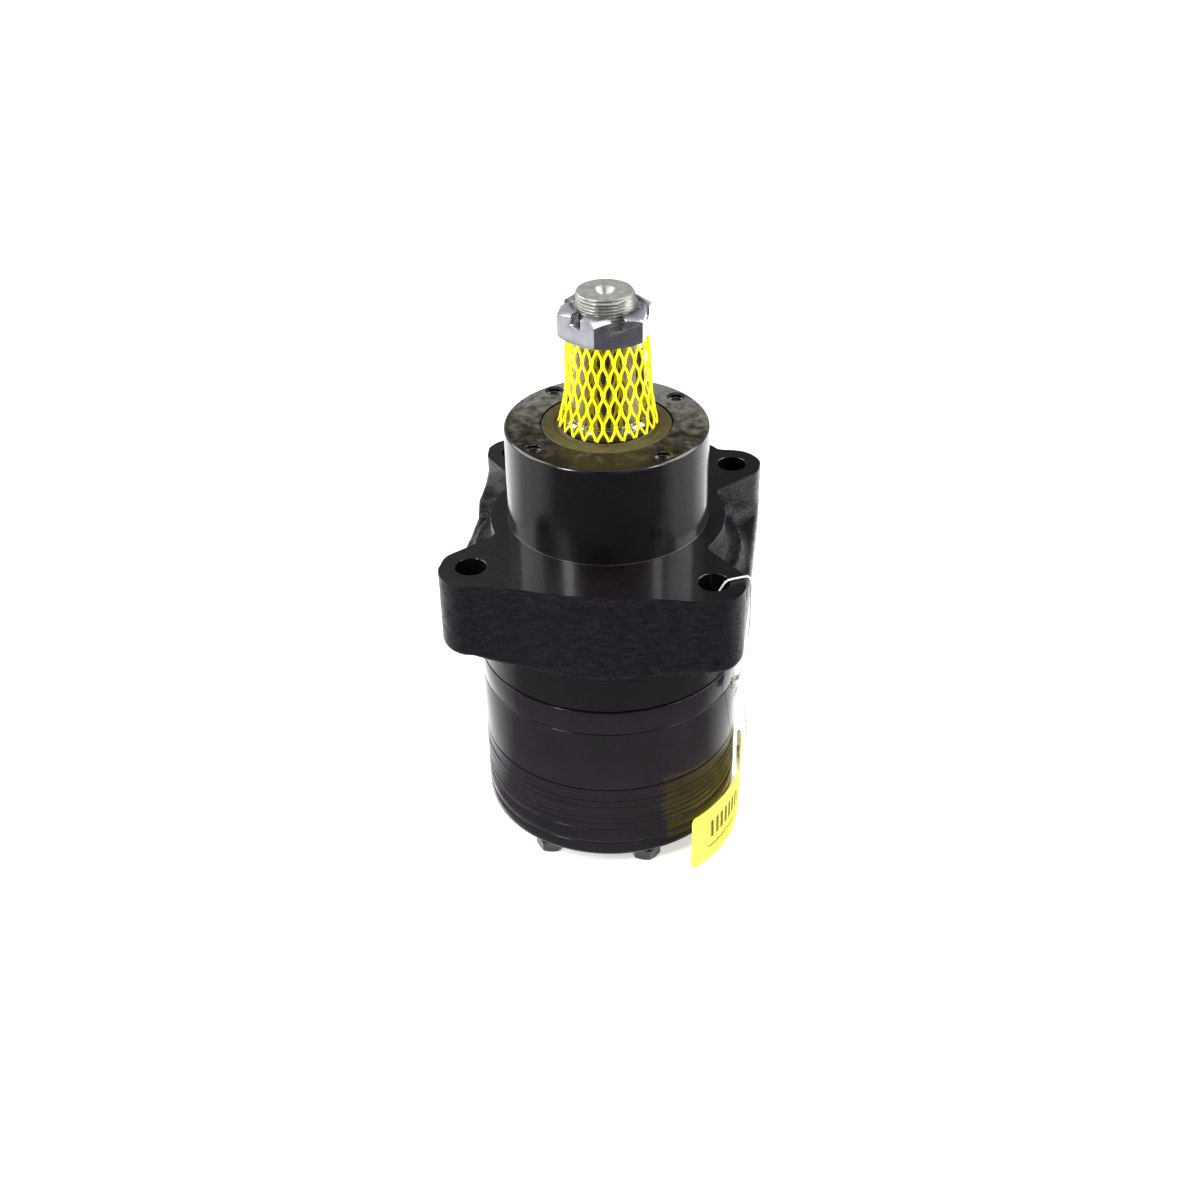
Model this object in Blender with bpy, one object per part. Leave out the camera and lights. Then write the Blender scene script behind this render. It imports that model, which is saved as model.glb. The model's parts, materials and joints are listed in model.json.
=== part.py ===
"""Low-speed wheel motor: a roller-gerotor hydraulic motor with a tapered shaft and a four-bolt flange.

Metres, +Z up.  The motor stands on its bolt heads at z = 0 with the shaft axis on Z and pointing up.
The port face looks along +Y.
"""
import bmesh
import bpy
from math import asin, atan2, cos, degrees, hypot, pi, radians, sin, sqrt
from mathutils import Matrix, Vector

# ---- driving dimensions -------------------------------------------------------------------------
GAP = 0.0003                 # air left between pieces that touch on the real motor
FLANGE_Z = 0.160             # height of the flange's mounting face above the standing plane
HUB_R = 0.045
HUB_TOP = FLANGE_Z + 0.0459
BODY_R = 0.06075             # outer radius of the round stack under the flange
BOLT_SQUARE = 0.0522         # flange bolt holes sit at (+-, +-) this
BOLT_HOLE_R = 0.00675
EAR_R = 0.0141
BLOCK_HALF = BOLT_SQUARE + EAR_R
FRONT_Y = 0.0680             # the front wall stands further out than the other three
FACE_Y = 0.0702              # port pad at the rear, and the crown of the front wall's swell
PORT_PAD_HALF = 0.041
SWELL_HALF = 0.027
RING_R = 0.053               # round part of the flange between the ears
LEDGE_Z = FLANGE_Z - 0.020   # floor of the side pockets
BLOCK_BASE = FLANGE_Z - 0.038

# stack, from the housing's rear face down: each entry is the height of a joint plane
HOUSING_END = FLANGE_Z - 0.0677
WEAR_END = FLANGE_Z - 0.0802
STATOR_END = FLANGE_Z - 0.1127
MANIFOLD_END = FLANGE_Z - 0.1364
RING_END = FLANGE_Z - 0.1450
COVER_END = FLANGE_Z - 0.1535

# rotor set
ROLLERS = 7
LOBES = ROLLERS - 1
PITCH_R = 0.0395             # circle that the rollers stand on
ROLLER_R = 0.0075
ORBIT = 0.0036               # offset of the rotor's centre from the shaft axis
ROLLER_FIRST = pi / 2 + pi / ROLLERS
ORBIT_TURN = -pi / 2         # at rest the rotor's centre lies towards a roller, at -Y
RUN = 0.00035                # running clearance between the rotor and its rollers

# cover bolts
COVER_BOLT_R = 0.00397
COVER_BOLT_HOLE_R = 0.00455
COVER_BOLT_CIRCLE = 0.0525
COVER_BOLT_FIRST = pi / 2
COVER_HEAD_FLATS = 0.0127
COVER_BOLT_TOP = FLANGE_Z - 0.0480

# square-cut seal grooves outside the cover bolts
SEAL_GROOVE_IN = 0.0576
SEAL_GROOVE_OUT = 0.0597
SEAL_GROOVE_DEPTH = 0.0016

# ports in the rear face and tapped holes in the hub's face
PORT_X = 0.022
PORT_Z = FLANGE_Z - 0.0225
PORT_THREAD_R = 0.0103
PORT_FACE_R = 0.0170
TAPPED_CIRCLE = 0.0391
TAPPED_R = 0.00395
TAPPED_DEPTH = 0.018

# output shaft
SHAFT_END = FLANGE_Z + 0.1069
JOURNAL_R = 0.01905
JOURNAL_END = FLANGE_Z + 0.0485
TAPER_START = FLANGE_Z + 0.0503
TAPER_R = 0.015875
TAPER_END = FLANGE_Z + 0.0870
TAPER_RATE = 1 / 16          # radius lost per length: a 1:8 taper on diameter
THREAD_R = 0.0127
RELIEF_R = 0.0117            # undercut between the taper and the thread
CENTRE_DRILL_R = 0.00435
HEAD_R = 0.0278              # inner end of the shaft, with the internal spline
HEAD_TOP = FLANGE_Z - 0.0140
HEAD_END = FLANGE_Z - 0.0620

# splines and drive link
TEETH = 12
SPLINE_TIP = 0.0156          # internal spline, radius of the tooth tips
SPLINE_ROOT = 0.0176
SPLINE_PLAY = 0.00055
FRONT_SPLINE_Z = FLANGE_Z - 0.0400
REAR_SPLINE_Z = FLANGE_Z - 0.0970
LINK_TOOTH_HALF = 0.0062
NOSE_Z = MANIFOLD_END - 0.0046

# nut and key
NUT_FLATS = 0.0365
NUT_BASE = FLANGE_Z + 0.0882
NUT_TOP = FLANGE_Z + 0.1015
NUT_CORNER_Z = FLANGE_Z + 0.0983
NUT_TURN = radians(-94.6)    # direction of one corner
SLOT_WIDTH = 0.0060
SLOT_DEPTH = 0.0060
KEY_Z = FLANGE_Z + 0.0680
KEY_WIDTH = 0.00635
KEY_R = 0.0127
KEY_CENTRE_X = 0.0191
KEY_TOP_X = 0.0168

# netting over the taper
SLEEVE_LOW = FLANGE_Z + 0.0465
SLEEVE_HIGH = NUT_BASE - 0.0006

# hub bores: radius of each step, from the rear
MAIN_BORE_R = 0.0342
MAIN_BORE_TOP = FLANGE_Z - 0.0220
HEAD_BORE_R = 0.0300
THRUST_STEP = FLANGE_Z - 0.0085
BEARING_BORE_R = 0.0240
SEAL_BORE_R = 0.0272
SEAL_STEP = FLANGE_Z + 0.0265
DUST_BORE_R = 0.0290
DUST_STEP = FLANGE_Z + 0.0380

# tag and its string; turns in degrees round the shaft axis
TAG_START = -51.5
TAG_END = 17.0
TAG_CORNER = 0.006
EYELET_TURN = 12.5
EYELET_R = 0.0022
KNOT_Z = FLANGE_Z - 0.0745
TAG_THICK = 0.0006
TAG_HEIGHT = 0.0310
TAG_LIFT = 0.0005
STRING_R = 0.00045

# facets round each kind of circle; pieces that nest share a number, so their facets stay parallel
BODY_FACETS = 36
GROOVE_FACETS = 24
BORE_FACETS = 24
HOLE_FACETS = 8


# ---- small tools --------------------------------------------------------------------------------
def clear_scene():
    for obj in list(bpy.data.objects):
        bpy.data.objects.remove(obj, do_unlink=True)


def material(name, colour, roughness, metallic=0.0):
    mat = bpy.data.materials.new(name)
    mat.use_nodes = True
    shader = mat.node_tree.nodes["Principled BSDF"]
    shader.inputs["Base Color"].default_value = (*colour, 1.0)
    shader.inputs["Roughness"].default_value = roughness
    shader.inputs["Metallic"].default_value = metallic
    return mat


def black_paint(name):
    return material(name, (0.012, 0.011, 0.013), 0.25)


def steel(name):
    return material(name, (0.45, 0.45, 0.46), 0.35, 1.0)


def rubber(name):
    return material(name, (0.02, 0.02, 0.02), 0.7)


def add_object(name, bm, mat=None, smooth=True):
    """Link a bmesh as a new object, with its faces turned outwards."""
    bmesh.ops.recalc_face_normals(bm, faces=bm.faces)
    mesh = bpy.data.meshes.new(name)
    bm.to_mesh(mesh)
    bm.free()
    if smooth:
        mesh.shade_smooth()
        mesh.set_sharp_from_angle(angle=radians(35))
    if mat:
        mesh.materials.append(mat)
    obj = bpy.data.objects.new(name, mesh)
    bpy.context.scene.collection.objects.link(obj)
    return obj


def circle(radius, count, centre=(0.0, 0.0), first=0.0):
    step = 2 * pi / count
    return [(centre[0] + radius * cos(first + i * step), centre[1] + radius * sin(first + i * step))
            for i in range(count)]


def arc(centre, radius, start, end, count):
    """Points along an arc, both ends included; angles in degrees."""
    turns = [radians(start + (end - start) * i / count) for i in range(count + 1)]
    return [(centre[0] + radius * cos(turn), centre[1] + radius * sin(turn)) for turn in turns]


def around(count, first=0.0):
    """Angles of pieces spaced evenly round the axis."""
    return [first + 2 * pi * i / count for i in range(count)]


def at_angle(radius, angle):
    return (radius * cos(angle), radius * sin(angle))


def turned_bmesh(profile, segments):
    """Closed ring or solid from a closed (r, z) outline turned round Z; points at r = 0 become poles."""
    bm = bmesh.new()
    rings = []
    for r, z in profile:
        if r == 0.0:
            rings.append([bm.verts.new((0.0, 0.0, z))] * segments)
        else:
            rings.append([bm.verts.new((x, y, z)) for x, y in circle(r, segments)])
    for here, there in zip(rings, rings[1:] + rings[:1]):
        if here[0] is here[1] and there[0] is there[1]:
            continue
        for i in range(segments):
            j = (i + 1) % segments
            corners = [here[i], here[j], there[j], there[i]]
            unique = list(dict.fromkeys(corners))
            bm.faces.new(unique)
    return bm


def turned(name, profile, mat=None, segments=BORE_FACETS):
    return add_object(name, turned_bmesh(profile, segments), mat)


def tube_profile(inner, outer, low, high, chamfer=0.0):
    """Section of a plain ring, with an optional chamfer on its outer edges."""
    if not chamfer:
        return [(inner, low), (outer, low), (outer, high), (inner, high)]
    return [(inner, low), (outer - chamfer, low), (outer, low + chamfer),
            (outer, high - chamfer), (outer - chamfer, high), (inner, high)]


def prism_bmesh(loops, low, high):
    """Upright prism: the first loop is its outline and the others are holes."""
    bm = bmesh.new()
    edges = []
    for loop in loops:
        verts = [bm.verts.new((x, y, low)) for x, y in loop]
        edges += [bm.edges.new((verts[i], verts[(i + 1) % len(verts)])) for i in range(len(verts))]
    bmesh.ops.triangle_fill(bm, use_beauty=True, use_dissolve=False, edges=edges)
    grown = bmesh.ops.extrude_face_region(bm, geom=bm.faces[:])
    moved = [item for item in grown["geom"] if isinstance(item, bmesh.types.BMVert)]
    bmesh.ops.translate(bm, vec=(0.0, 0.0, high - low), verts=moved)
    return bm


def prism(name, loops, low, high, mat=None):
    return add_object(name, prism_bmesh(loops, low, high), mat)


def cutter(name, parts):
    """One hidden tool made of several separate closed shapes."""
    bm = bmesh.new()
    for part in parts:
        mesh = bpy.data.meshes.new(name + "_piece")
        bmesh.ops.recalc_face_normals(part, faces=part.faces)
        part.to_mesh(mesh)
        part.free()
        bm.from_mesh(mesh)
        bpy.data.meshes.remove(mesh)
    obj = add_object(name, bm, smooth=False)
    obj.hide_render = True
    obj.display_type = 'WIRE'
    return obj


def boolean(obj, tool, operation='DIFFERENCE'):
    mod = obj.modifiers.new(tool.name, 'BOOLEAN')
    mod.operation = operation
    mod.solver = 'EXACT'
    mod.object = tool
    return obj


def cylinder_bmesh(radius, low, high, centre=(0.0, 0.0), segments=HOLE_FACETS):
    return prism_bmesh([circle(radius, segments, centre)], low, high)


def along_y(bm, centre_x, centre_z):
    """Lay an upright tool down so that its height runs along +Y at the given place."""
    turn = Matrix.Translation((centre_x, 0.0, centre_z)) @ Matrix.Rotation(-pi / 2, 4, 'X')
    bmesh.ops.transform(bm, matrix=turn, verts=bm.verts)
    return bm


# ---- shapes that follow a rule ------------------------------------------------------------------
def rotor_outline(per_lobe=18):
    """Path that a roller's centre runs round the rotor, moved in by the roller's radius."""
    points = []
    count = LOBES * per_lobe
    for i in range(count):
        t = 2 * pi * i / count
        x = PITCH_R * cos(t) - ORBIT * cos(ROLLERS * t)
        y = PITCH_R * sin(t) - ORBIT * sin(ROLLERS * t)
        dx = -PITCH_R * sin(t) + ROLLERS * ORBIT * sin(ROLLERS * t)
        dy = PITCH_R * cos(t) - ROLLERS * ORBIT * cos(ROLLERS * t)
        length = hypot(dx, dy)
        inset = ROLLER_R + RUN
        points.append((x - inset * dy / length, y + inset * dx / length))
    return points


def spline_outline(tip, root, tooth_share, first=0.0):
    """Round spline with straight teeth: tooth_share is the part of each pitch at the tip radius."""
    pitch = 2 * pi / TEETH
    points = []
    for k in range(TEETH):
        mid = first + k * pitch
        half_tip = pitch * tooth_share / 2
        half_root = pitch * 0.29
        for radius, angle in ((root, mid - half_root), (tip, mid - half_tip), (tip, mid + half_tip),
                              (root, mid + half_root)):
            points.append(at_angle(radius, angle))
    return points


def stator_bore(per_pocket=7):
    """Inside of the stator: a round wall with a half-round pocket for each roller."""
    wall = PITCH_R + ROLLER_R * 0.03
    pocket = ROLLER_R + GAP
    half = pocket / wall
    points = []
    for k in range(ROLLERS):
        mid = ROLLER_FIRST + 2 * pi * k / ROLLERS
        centre = at_angle(PITCH_R, mid)
        for i in range(per_pocket + 1):
            turn = mid - pi / 2 + pi * i / per_pocket
            points.append((centre[0] + pocket * cos(turn), centre[1] + pocket * sin(turn)))
        gap = 2 * pi / ROLLERS - 2 * half
        for i in range(1, 3):
            points.append(at_angle(wall, mid + half + gap * i / 3))
    return points


def cage_outline(radius, bulge, needles, per_needle=4):
    """Needle cage and its needles as one ring: the outside swells over every needle."""
    turns = around(needles * per_needle)
    return [at_angle(radius + bulge * cos(needles * turn), turn) for turn in turns]


def bolt_centres():
    return [at_angle(COVER_BOLT_CIRCLE, angle) for angle in around(ROLLERS, COVER_BOLT_FIRST)]


def bolt_hole_loops():
    return [circle(COVER_BOLT_HOLE_R, HOLE_FACETS, centre) for centre in bolt_centres()]


def seal_groove(joint, way):
    """Tool for a seal groove that runs from a joint plane up (way 1) or down (way -1)."""
    low, high = sorted((joint - way * 0.001, joint + way * SEAL_GROOVE_DEPTH))
    return turned_bmesh(tube_profile(SEAL_GROOVE_IN, SEAL_GROOVE_OUT, low, high), GROOVE_FACETS)


# ---- housing ------------------------------------------------------------------------------------
def ear_centre(sign_x, sign_y):
    return (sign_x * BOLT_SQUARE, sign_y * BOLT_SQUARE)


def block_outline():
    """Square with the ears' round corners, a low swell at the front and the port pad at the rear."""
    rise = FACE_Y - FRONT_Y
    swell_r = (SWELL_HALF ** 2 + rise ** 2) / (2 * rise)
    spread = degrees(asin(SWELL_HALF / swell_r))
    front_ear = FRONT_Y - EAR_R
    slant = FACE_Y - BLOCK_HALF
    pad = [(PORT_PAD_HALF + slant, BLOCK_HALF), (PORT_PAD_HALF, FACE_Y),
           (-PORT_PAD_HALF, FACE_Y), (-PORT_PAD_HALF - slant, BLOCK_HALF)]
    front = arc((0.0, swell_r - FACE_Y), swell_r, -90 - spread, -90 + spread, 6)
    right = arc((BOLT_SQUARE, -front_ear), EAR_R, -90, 0, 6) + arc(ear_centre(1, 1), EAR_R, 0, 90, 6)
    left = arc(ear_centre(-1, 1), EAR_R, 90, 180, 6) + arc((-BOLT_SQUARE, -front_ear), EAR_R, 180, 270, 6)
    return front + right + pad + left


def pocket_outline(side):
    """Plan of a side pocket: round both ears, along their sloping flanks and round the ring."""
    slope = 42.0
    ring_turn = 28.2
    outside = BLOCK_HALF + 0.010
    back_ear = ear_centre(1, 1)
    front_ear = ear_centre(1, -1)
    points = [(outside, back_ear[1])]
    points += arc(back_ear, EAR_R, 0.0, -slope, 4)
    points += arc((0.0, 0.0), RING_R, ring_turn, -ring_turn, 8)
    points += arc(front_ear, EAR_R, slope, 0.0, 4)
    points.append((outside, front_ear[1]))
    return [(side * x, y) for x, y in points]


def housing():
    """Cast housing: hub, four-ear block, round rear body, bores, ports and bolt holes."""
    foot = HUB_R + 0.0012
    body = turned("housing", [
        (0.0, HOUSING_END), (BODY_R, HOUSING_END), (BODY_R, FLANGE_Z - 0.030), (foot, FLANGE_Z - 0.006),
        (foot, FLANGE_Z), (HUB_R, FLANGE_Z + 0.0012), (HUB_R, HUB_TOP - 0.0010),
        (HUB_R - 0.0010, HUB_TOP), (0.0, HUB_TOP)], black_paint("housing_paint"), BODY_FACETS)
    block = cutter("block_tool", [prism_bmesh([block_outline()], BLOCK_BASE, FLANGE_Z)])
    boolean(body, block, 'UNION')
    pockets = cutter("pocket_tool", [prism_bmesh([pocket_outline(side)], LEDGE_Z, FLANGE_Z + 0.002)
                                     for side in (1, -1)])
    boolean(body, pockets)
    bore = cutter("bore_tool", [turned_bmesh([
        (0.0, HOUSING_END - 0.002), (MAIN_BORE_R, HOUSING_END - 0.002), (MAIN_BORE_R, MAIN_BORE_TOP),
        (HEAD_BORE_R, MAIN_BORE_TOP), (HEAD_BORE_R, THRUST_STEP), (BEARING_BORE_R, THRUST_STEP),
        (BEARING_BORE_R, SEAL_STEP), (SEAL_BORE_R, SEAL_STEP), (SEAL_BORE_R, DUST_STEP),
        (DUST_BORE_R, DUST_STEP), (DUST_BORE_R, HUB_TOP + 0.002), (0.0, HUB_TOP + 0.002)], BORE_FACETS)])
    boolean(body, bore)
    corners = [(sx * BOLT_SQUARE, sy * BOLT_SQUARE) for sx in (1, -1) for sy in (1, -1)]
    flange_holes = [cylinder_bmesh(BOLT_HOLE_R, BLOCK_BASE - 0.002, FLANGE_Z + 0.002, corner, 16)
                    for corner in corners]
    tapped = [cylinder_bmesh(TAPPED_R, HUB_TOP - TAPPED_DEPTH, HUB_TOP + 0.002, centre, 10)
              for centre in [at_angle(TAPPED_CIRCLE, angle) for angle in around(4, pi / 4)]]
    threaded = [cylinder_bmesh(COVER_BOLT_HOLE_R, HOUSING_END - 0.002, COVER_BOLT_TOP + 0.004, centre)
                for centre in bolt_centres()]
    boolean(body, cutter("hole_tool", flange_holes + tapped + threaded))
    passage_r, passage_start, thread_start, face = 0.0045, 0.020, 0.0505, FACE_Y - 0.0005
    ports = [along_y(turned_bmesh([
        (0.0, passage_start), (passage_r, passage_start), (passage_r, thread_start),
        (PORT_THREAD_R, thread_start), (PORT_THREAD_R, face - 0.0018), (PORT_THREAD_R + 0.0022, face),
        (PORT_FACE_R, face), (PORT_FACE_R, face + 0.002), (0.0, face + 0.002)], 16), side * PORT_X, PORT_Z)
        for side in (1, -1)]
    boolean(body, cutter("port_tool", ports))
    boolean(body, cutter("housing_groove_tool", [seal_groove(HOUSING_END, 1)]))
    return body


# ---- seals and bearings -------------------------------------------------------------------------
def dirt_seal():
    """Dust seal in the hub's mouth, with a thin lip leaning on the journal."""
    outer, low, high = DUST_BORE_R - GAP, DUST_STEP + GAP, HUB_TOP - 0.0002
    turned("dirt_seal", [
        (0.0215, low), (outer, low), (outer, high - 0.0004), (outer - 0.0004, high), (0.0222, high),
        (0.0205, high + 0.0001), (JOURNAL_R + GAP, high - 0.0008), (JOURNAL_R + GAP, high - 0.0022),
        (0.0208, high - 0.0034)], material("dirt_seal_rubber", (0.03, 0.03, 0.025), 0.6))


def shaft_seal():
    low, high = SEAL_STEP + GAP, SEAL_STEP + 0.0070
    turned("shaft_seal", [
        (0.0225, low), (SEAL_BORE_R - GAP, low), (SEAL_BORE_R - GAP, high), (0.0200, high),
        (JOURNAL_R + GAP, high - 0.0020), (0.0205, low + 0.0030)], rubber("shaft_seal_rubber"))


def backup_washer():
    turned("backup_washer", tube_profile(JOURNAL_R + GAP, SEAL_BORE_R - GAP, SEAL_STEP + 0.0073,
                                         SEAL_STEP + 0.0090), steel("backup_washer_steel"))


def retaining_ring():
    turned("retaining_ring", tube_profile(0.0225, SEAL_BORE_R - GAP, SEAL_STEP + 0.0093,
                                          SEAL_STEP + 0.0110), steel("retaining_ring_steel"))


def needle_bearings():
    """Drawn-cup shell and a caged set of needles at each journal."""
    sets = (("outer", JOURNAL_R, BEARING_BORE_R, FLANGE_Z - 0.0050, FLANGE_Z + 0.0220, 16),
            ("inner", HEAD_R, MAIN_BORE_R, FLANGE_Z - 0.0520, FLANGE_Z - 0.0260, 20))
    for name, journal, bore, low, high, needles in sets:
        shell_in = bore - 0.0022
        turned(name + "_bearing_shell", tube_profile(shell_in, bore - GAP, low, high),
               steel(name + "_shell_steel"))
        inner = journal + GAP
        bulge = 0.0003
        mid = shell_in - GAP - bulge - 0.0001
        prism(name + "_bearing_cage",
              [cage_outline(mid, bulge, needles), circle(inner, BORE_FACETS)],
              low + 0.0006, high - 0.0006, steel(name + "_cage_steel"))


def thrust_bearings():
    """Caged thrust rollers and a hard washer on each side of the shaft's head."""
    sets = (("front", HEAD_TOP + GAP, 1), ("rear", HEAD_END - GAP, -1))
    for name, start, way in sets:
        cage = sorted((start, start + way * 0.0028))
        washer = sorted((start + way * 0.0031, start + way * 0.0048))
        prism(name + "_thrust_bearing", [cage_outline(0.0269, 0.0005, 16), circle(0.0205, 32)],
              cage[0], cage[1], steel(name + "_thrust_steel"))
        turned(name + "_thrust_washer", tube_profile(0.0205, 0.0285, washer[0], washer[1]),
               steel(name + "_washer_steel"))


# ---- shaft group --------------------------------------------------------------------------------
def taper_radius(z):
    return TAPER_R - (z - TAPER_START) * TAPER_RATE


def key_tool(radius, width, outer_x):
    """Disc of the woodruff cutter, cut off flat at outer_x."""
    reach = sqrt(radius ** 2 - (outer_x - KEY_CENTRE_X) ** 2)
    start = degrees(atan2(reach, outer_x - KEY_CENTRE_X))
    bm = prism_bmesh([arc((KEY_CENTRE_X, KEY_Z), radius, start, 360.0 - start, 16)], -width / 2, width / 2)
    bmesh.ops.transform(bm, matrix=Matrix.Rotation(pi / 2, 4, 'X'), verts=bm.verts)
    return bm


def coupling_shaft():
    """Output shaft: splined head, journal, taper, threaded end and centre-drilled tip."""
    taper_low = taper_radius(TAPER_END)
    shaft = turned("coupling_shaft", [
        (0.0, HEAD_END), (HEAD_R - 0.0008, HEAD_END), (HEAD_R, HEAD_END + 0.0008), (HEAD_R, HEAD_TOP),
        (JOURNAL_R, HEAD_TOP), (JOURNAL_R, JOURNAL_END), (JOURNAL_R - 0.0016, TAPER_START),
        (TAPER_R, TAPER_START), (taper_low, TAPER_END), (RELIEF_R, TAPER_END),
        (RELIEF_R, TAPER_END + 0.0016), (THREAD_R, TAPER_END + 0.0026), (THREAD_R, SHAFT_END - 0.0009),
        (THREAD_R - 0.0009, SHAFT_END), (CENTRE_DRILL_R, SHAFT_END),
        (0.0016, SHAFT_END - 0.0032), (0.0016, SHAFT_END - 0.0070), (0.0, SHAFT_END - 0.0075)],
        steel("shaft_steel"), BORE_FACETS)
    spline = prism_bmesh([spline_outline(SPLINE_TIP, SPLINE_ROOT, 0.30)],
                         FRONT_SPLINE_Z - 0.0115, FRONT_SPLINE_Z + 0.0095)
    mouth = turned_bmesh([(0.0, HEAD_END - 0.001), (0.0205, HEAD_END - 0.001), (0.0190, HEAD_END + 0.0016),
                          (0.0190, FRONT_SPLINE_Z - 0.0110), (0.0, FRONT_SPLINE_Z - 0.0110)], BORE_FACETS)
    boolean(shaft, cutter("mouth_tool", [mouth]))
    boolean(shaft, cutter("shaft_spline_tool", [spline]))
    boolean(shaft, cutter("keyway_tool", [key_tool(KEY_R + GAP, KEY_WIDTH + 2 * GAP, KEY_CENTRE_X + 0.005)]))
    return shaft


def woodruff_key():
    return add_object("woodruff_key", key_tool(KEY_R, KEY_WIDTH, KEY_TOP_X), steel("key_steel"))


def slotted_nut():
    """Hexagon nut with a 30 degree chamfer and three slots right across its top."""
    corner = NUT_FLATS / 2 / cos(pi / 6)
    nut = prism("slotted_nut", [circle(corner, 6, first=NUT_TURN), circle(THREAD_R + GAP, BORE_FACETS)],
                NUT_BASE, NUT_TOP, material("nut_zinc", (0.62, 0.65, 0.70), 0.28, 1.0))
    top_r = corner - (NUT_TOP - NUT_CORNER_Z) / 0.577
    envelope = turned_bmesh([
        (0.0, NUT_BASE - 0.001), (corner + 0.001, NUT_BASE - 0.001), (corner + 0.001, NUT_CORNER_Z - 0.0006),
        (top_r, NUT_TOP), (top_r, NUT_TOP + 0.001), (0.0, NUT_TOP + 0.001)], 36)
    boolean(nut, cutter("nut_chamfer_tool", [envelope]), 'INTERSECT')
    for k in range(3):
        turn = NUT_TURN + pi / 6 + k * pi / 3
        slot = prism_bmesh([[(-0.03, -SLOT_WIDTH / 2), (0.03, -SLOT_WIDTH / 2), (0.03, SLOT_WIDTH / 2),
                             (-0.03, SLOT_WIDTH / 2)]], NUT_TOP - SLOT_DEPTH, NUT_TOP + 0.002)
        bmesh.ops.transform(slot, matrix=Matrix.Rotation(turn, 4, 'Z'), verts=slot.verts)
        boolean(nut, cutter("nut_slot_tool_%d" % (k + 1), [slot]))
    return nut


def sleeve_radius(z, angle):
    """Middle of the netting: flared over the journal, drawn in on the taper, pushed out by the key."""
    t = (z - SLEEVE_LOW) / (SLEEVE_HIGH - SLEEVE_LOW)
    flare = 0.0035 * max(0.0, 1 - t / 0.45) ** 1.6
    over_key = 0.0022 * max(0.0, cos(angle)) ** 4 * max(0.0, 1 - ((z - KEY_Z) / 0.030) ** 2)
    return 0.0176 - 0.0008 * t + flare + over_key


def shaft_sleeve():
    """Net sleeve over the taper, as the tube that its strands lie in."""
    half, levels, count = 0.0008, 6, 24
    heights = [SLEEVE_LOW + (SLEEVE_HIGH - SLEEVE_LOW) * i / (levels - 1) for i in range(levels)]
    bm = bmesh.new()
    outer, inner = [[[bm.verts.new((*at_angle(sleeve_radius(z, a) + offset, a), z)) for a in around(count)]
                     for z in heights] for offset in (half, -half)]
    loops = outer + inner[::-1]
    for here, there in zip(loops, loops[1:] + loops[:1]):
        for k in range(count):
            n = (k + 1) % count
            bm.faces.new((here[k], here[n], there[n], there[k]))
    return add_object("shaft_sleeve", bm, material("sleeve_plastic", (0.95, 0.85, 0.02), 0.4))


# ---- rotor set and rear stack -------------------------------------------------------------------
def link_direction():
    """Axis of the leaning drive link, from the shaft's spline to the rotor's spline."""
    return Vector((*at_angle(ORBIT, ORBIT_TURN), REAR_SPLINE_Z - FRONT_SPLINE_Z)).normalized()


def drive_link():
    """Dog-bone link: crowned spline at both ends and a nose that drives the commutator."""
    reach = hypot(ORBIT, FRONT_SPLINE_Z - REAR_SPLINE_Z)
    nose = (FRONT_SPLINE_Z - NOSE_Z) * reach / (FRONT_SPLINE_Z - REAR_SPLINE_Z)
    core = 0.0118
    link = turned("drive_link", [
        (0.0, 0.0082), (core - 0.001, 0.0082), (core, 0.0072), (core, -reach - 0.0070),
        (0.0060, -reach - 0.0095), (0.0050, -reach - 0.0120), (0.0050, -nose + 0.0026),
        (0.0056, -nose + 0.0012), (0.0056, -nose - 0.0012), (0.0046, -nose - 0.0024), (0.0, -nose - 0.0024)],
        steel("link_steel"), 20)
    outline = spline_outline(SPLINE_ROOT - SPLINE_PLAY, SPLINE_TIP - SPLINE_PLAY, 0.11, pi / TEETH)
    teeth = [prism_bmesh([outline], mid - LINK_TOOTH_HALF, mid + LINK_TOOTH_HALF) for mid in (0.0, -reach)]
    boolean(link, cutter("link_teeth_tool", teeth), 'UNION')
    axis = link_direction()
    lean = Vector((0.0, 0.0, -1.0)).rotation_difference(axis).to_matrix().to_4x4()
    place = Matrix.Translation((0.0, 0.0, FRONT_SPLINE_Z)) @ lean
    link.matrix_world = place
    bpy.data.objects["link_teeth_tool"].matrix_world = place
    return link


def wear_plate():
    plate = prism("wear_plate", [circle(BODY_R, BODY_FACETS), circle(0.0200, 24)] + bolt_hole_loops(),
                  WEAR_END + GAP / 2, HOUSING_END - GAP, black_paint("wear_plate_paint"))
    return boolean(plate, cutter("wear_groove_tool", [seal_groove(WEAR_END, 1)]))


def stator_ring():
    return prism("stator_ring", [circle(BODY_R, BODY_FACETS), stator_bore()] + bolt_hole_loops(),
                 STATOR_END + GAP / 2, WEAR_END - GAP / 2, black_paint("stator_paint"))


def rollers():
    for k, angle in enumerate(around(ROLLERS, ROLLER_FIRST)):
        roller = prism("roller_%d" % (k + 1), [circle(ROLLER_R, BORE_FACETS)],
                       STATOR_END + 0.0005, WEAR_END - 0.0005, steel("roller_steel_%d" % (k + 1)))
        roller.location = (*at_angle(PITCH_R, angle), 0.0)


def rotor():
    """Six-lobed rotor, off the axis by its orbit and turned so that its lobes mesh with the rollers."""
    lobes = rotor_outline()
    spline = spline_outline(SPLINE_TIP, SPLINE_ROOT, 0.30, -ORBIT_TURN)
    piece = prism("rotor", [lobes, spline], STATOR_END + 0.0004, WEAR_END - 0.0004, steel("rotor_steel"))
    piece.location = (*at_angle(ORBIT, ORBIT_TURN), 0.0)
    piece.rotation_euler = (0.0, 0.0, ORBIT_TURN)
    return piece


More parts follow.
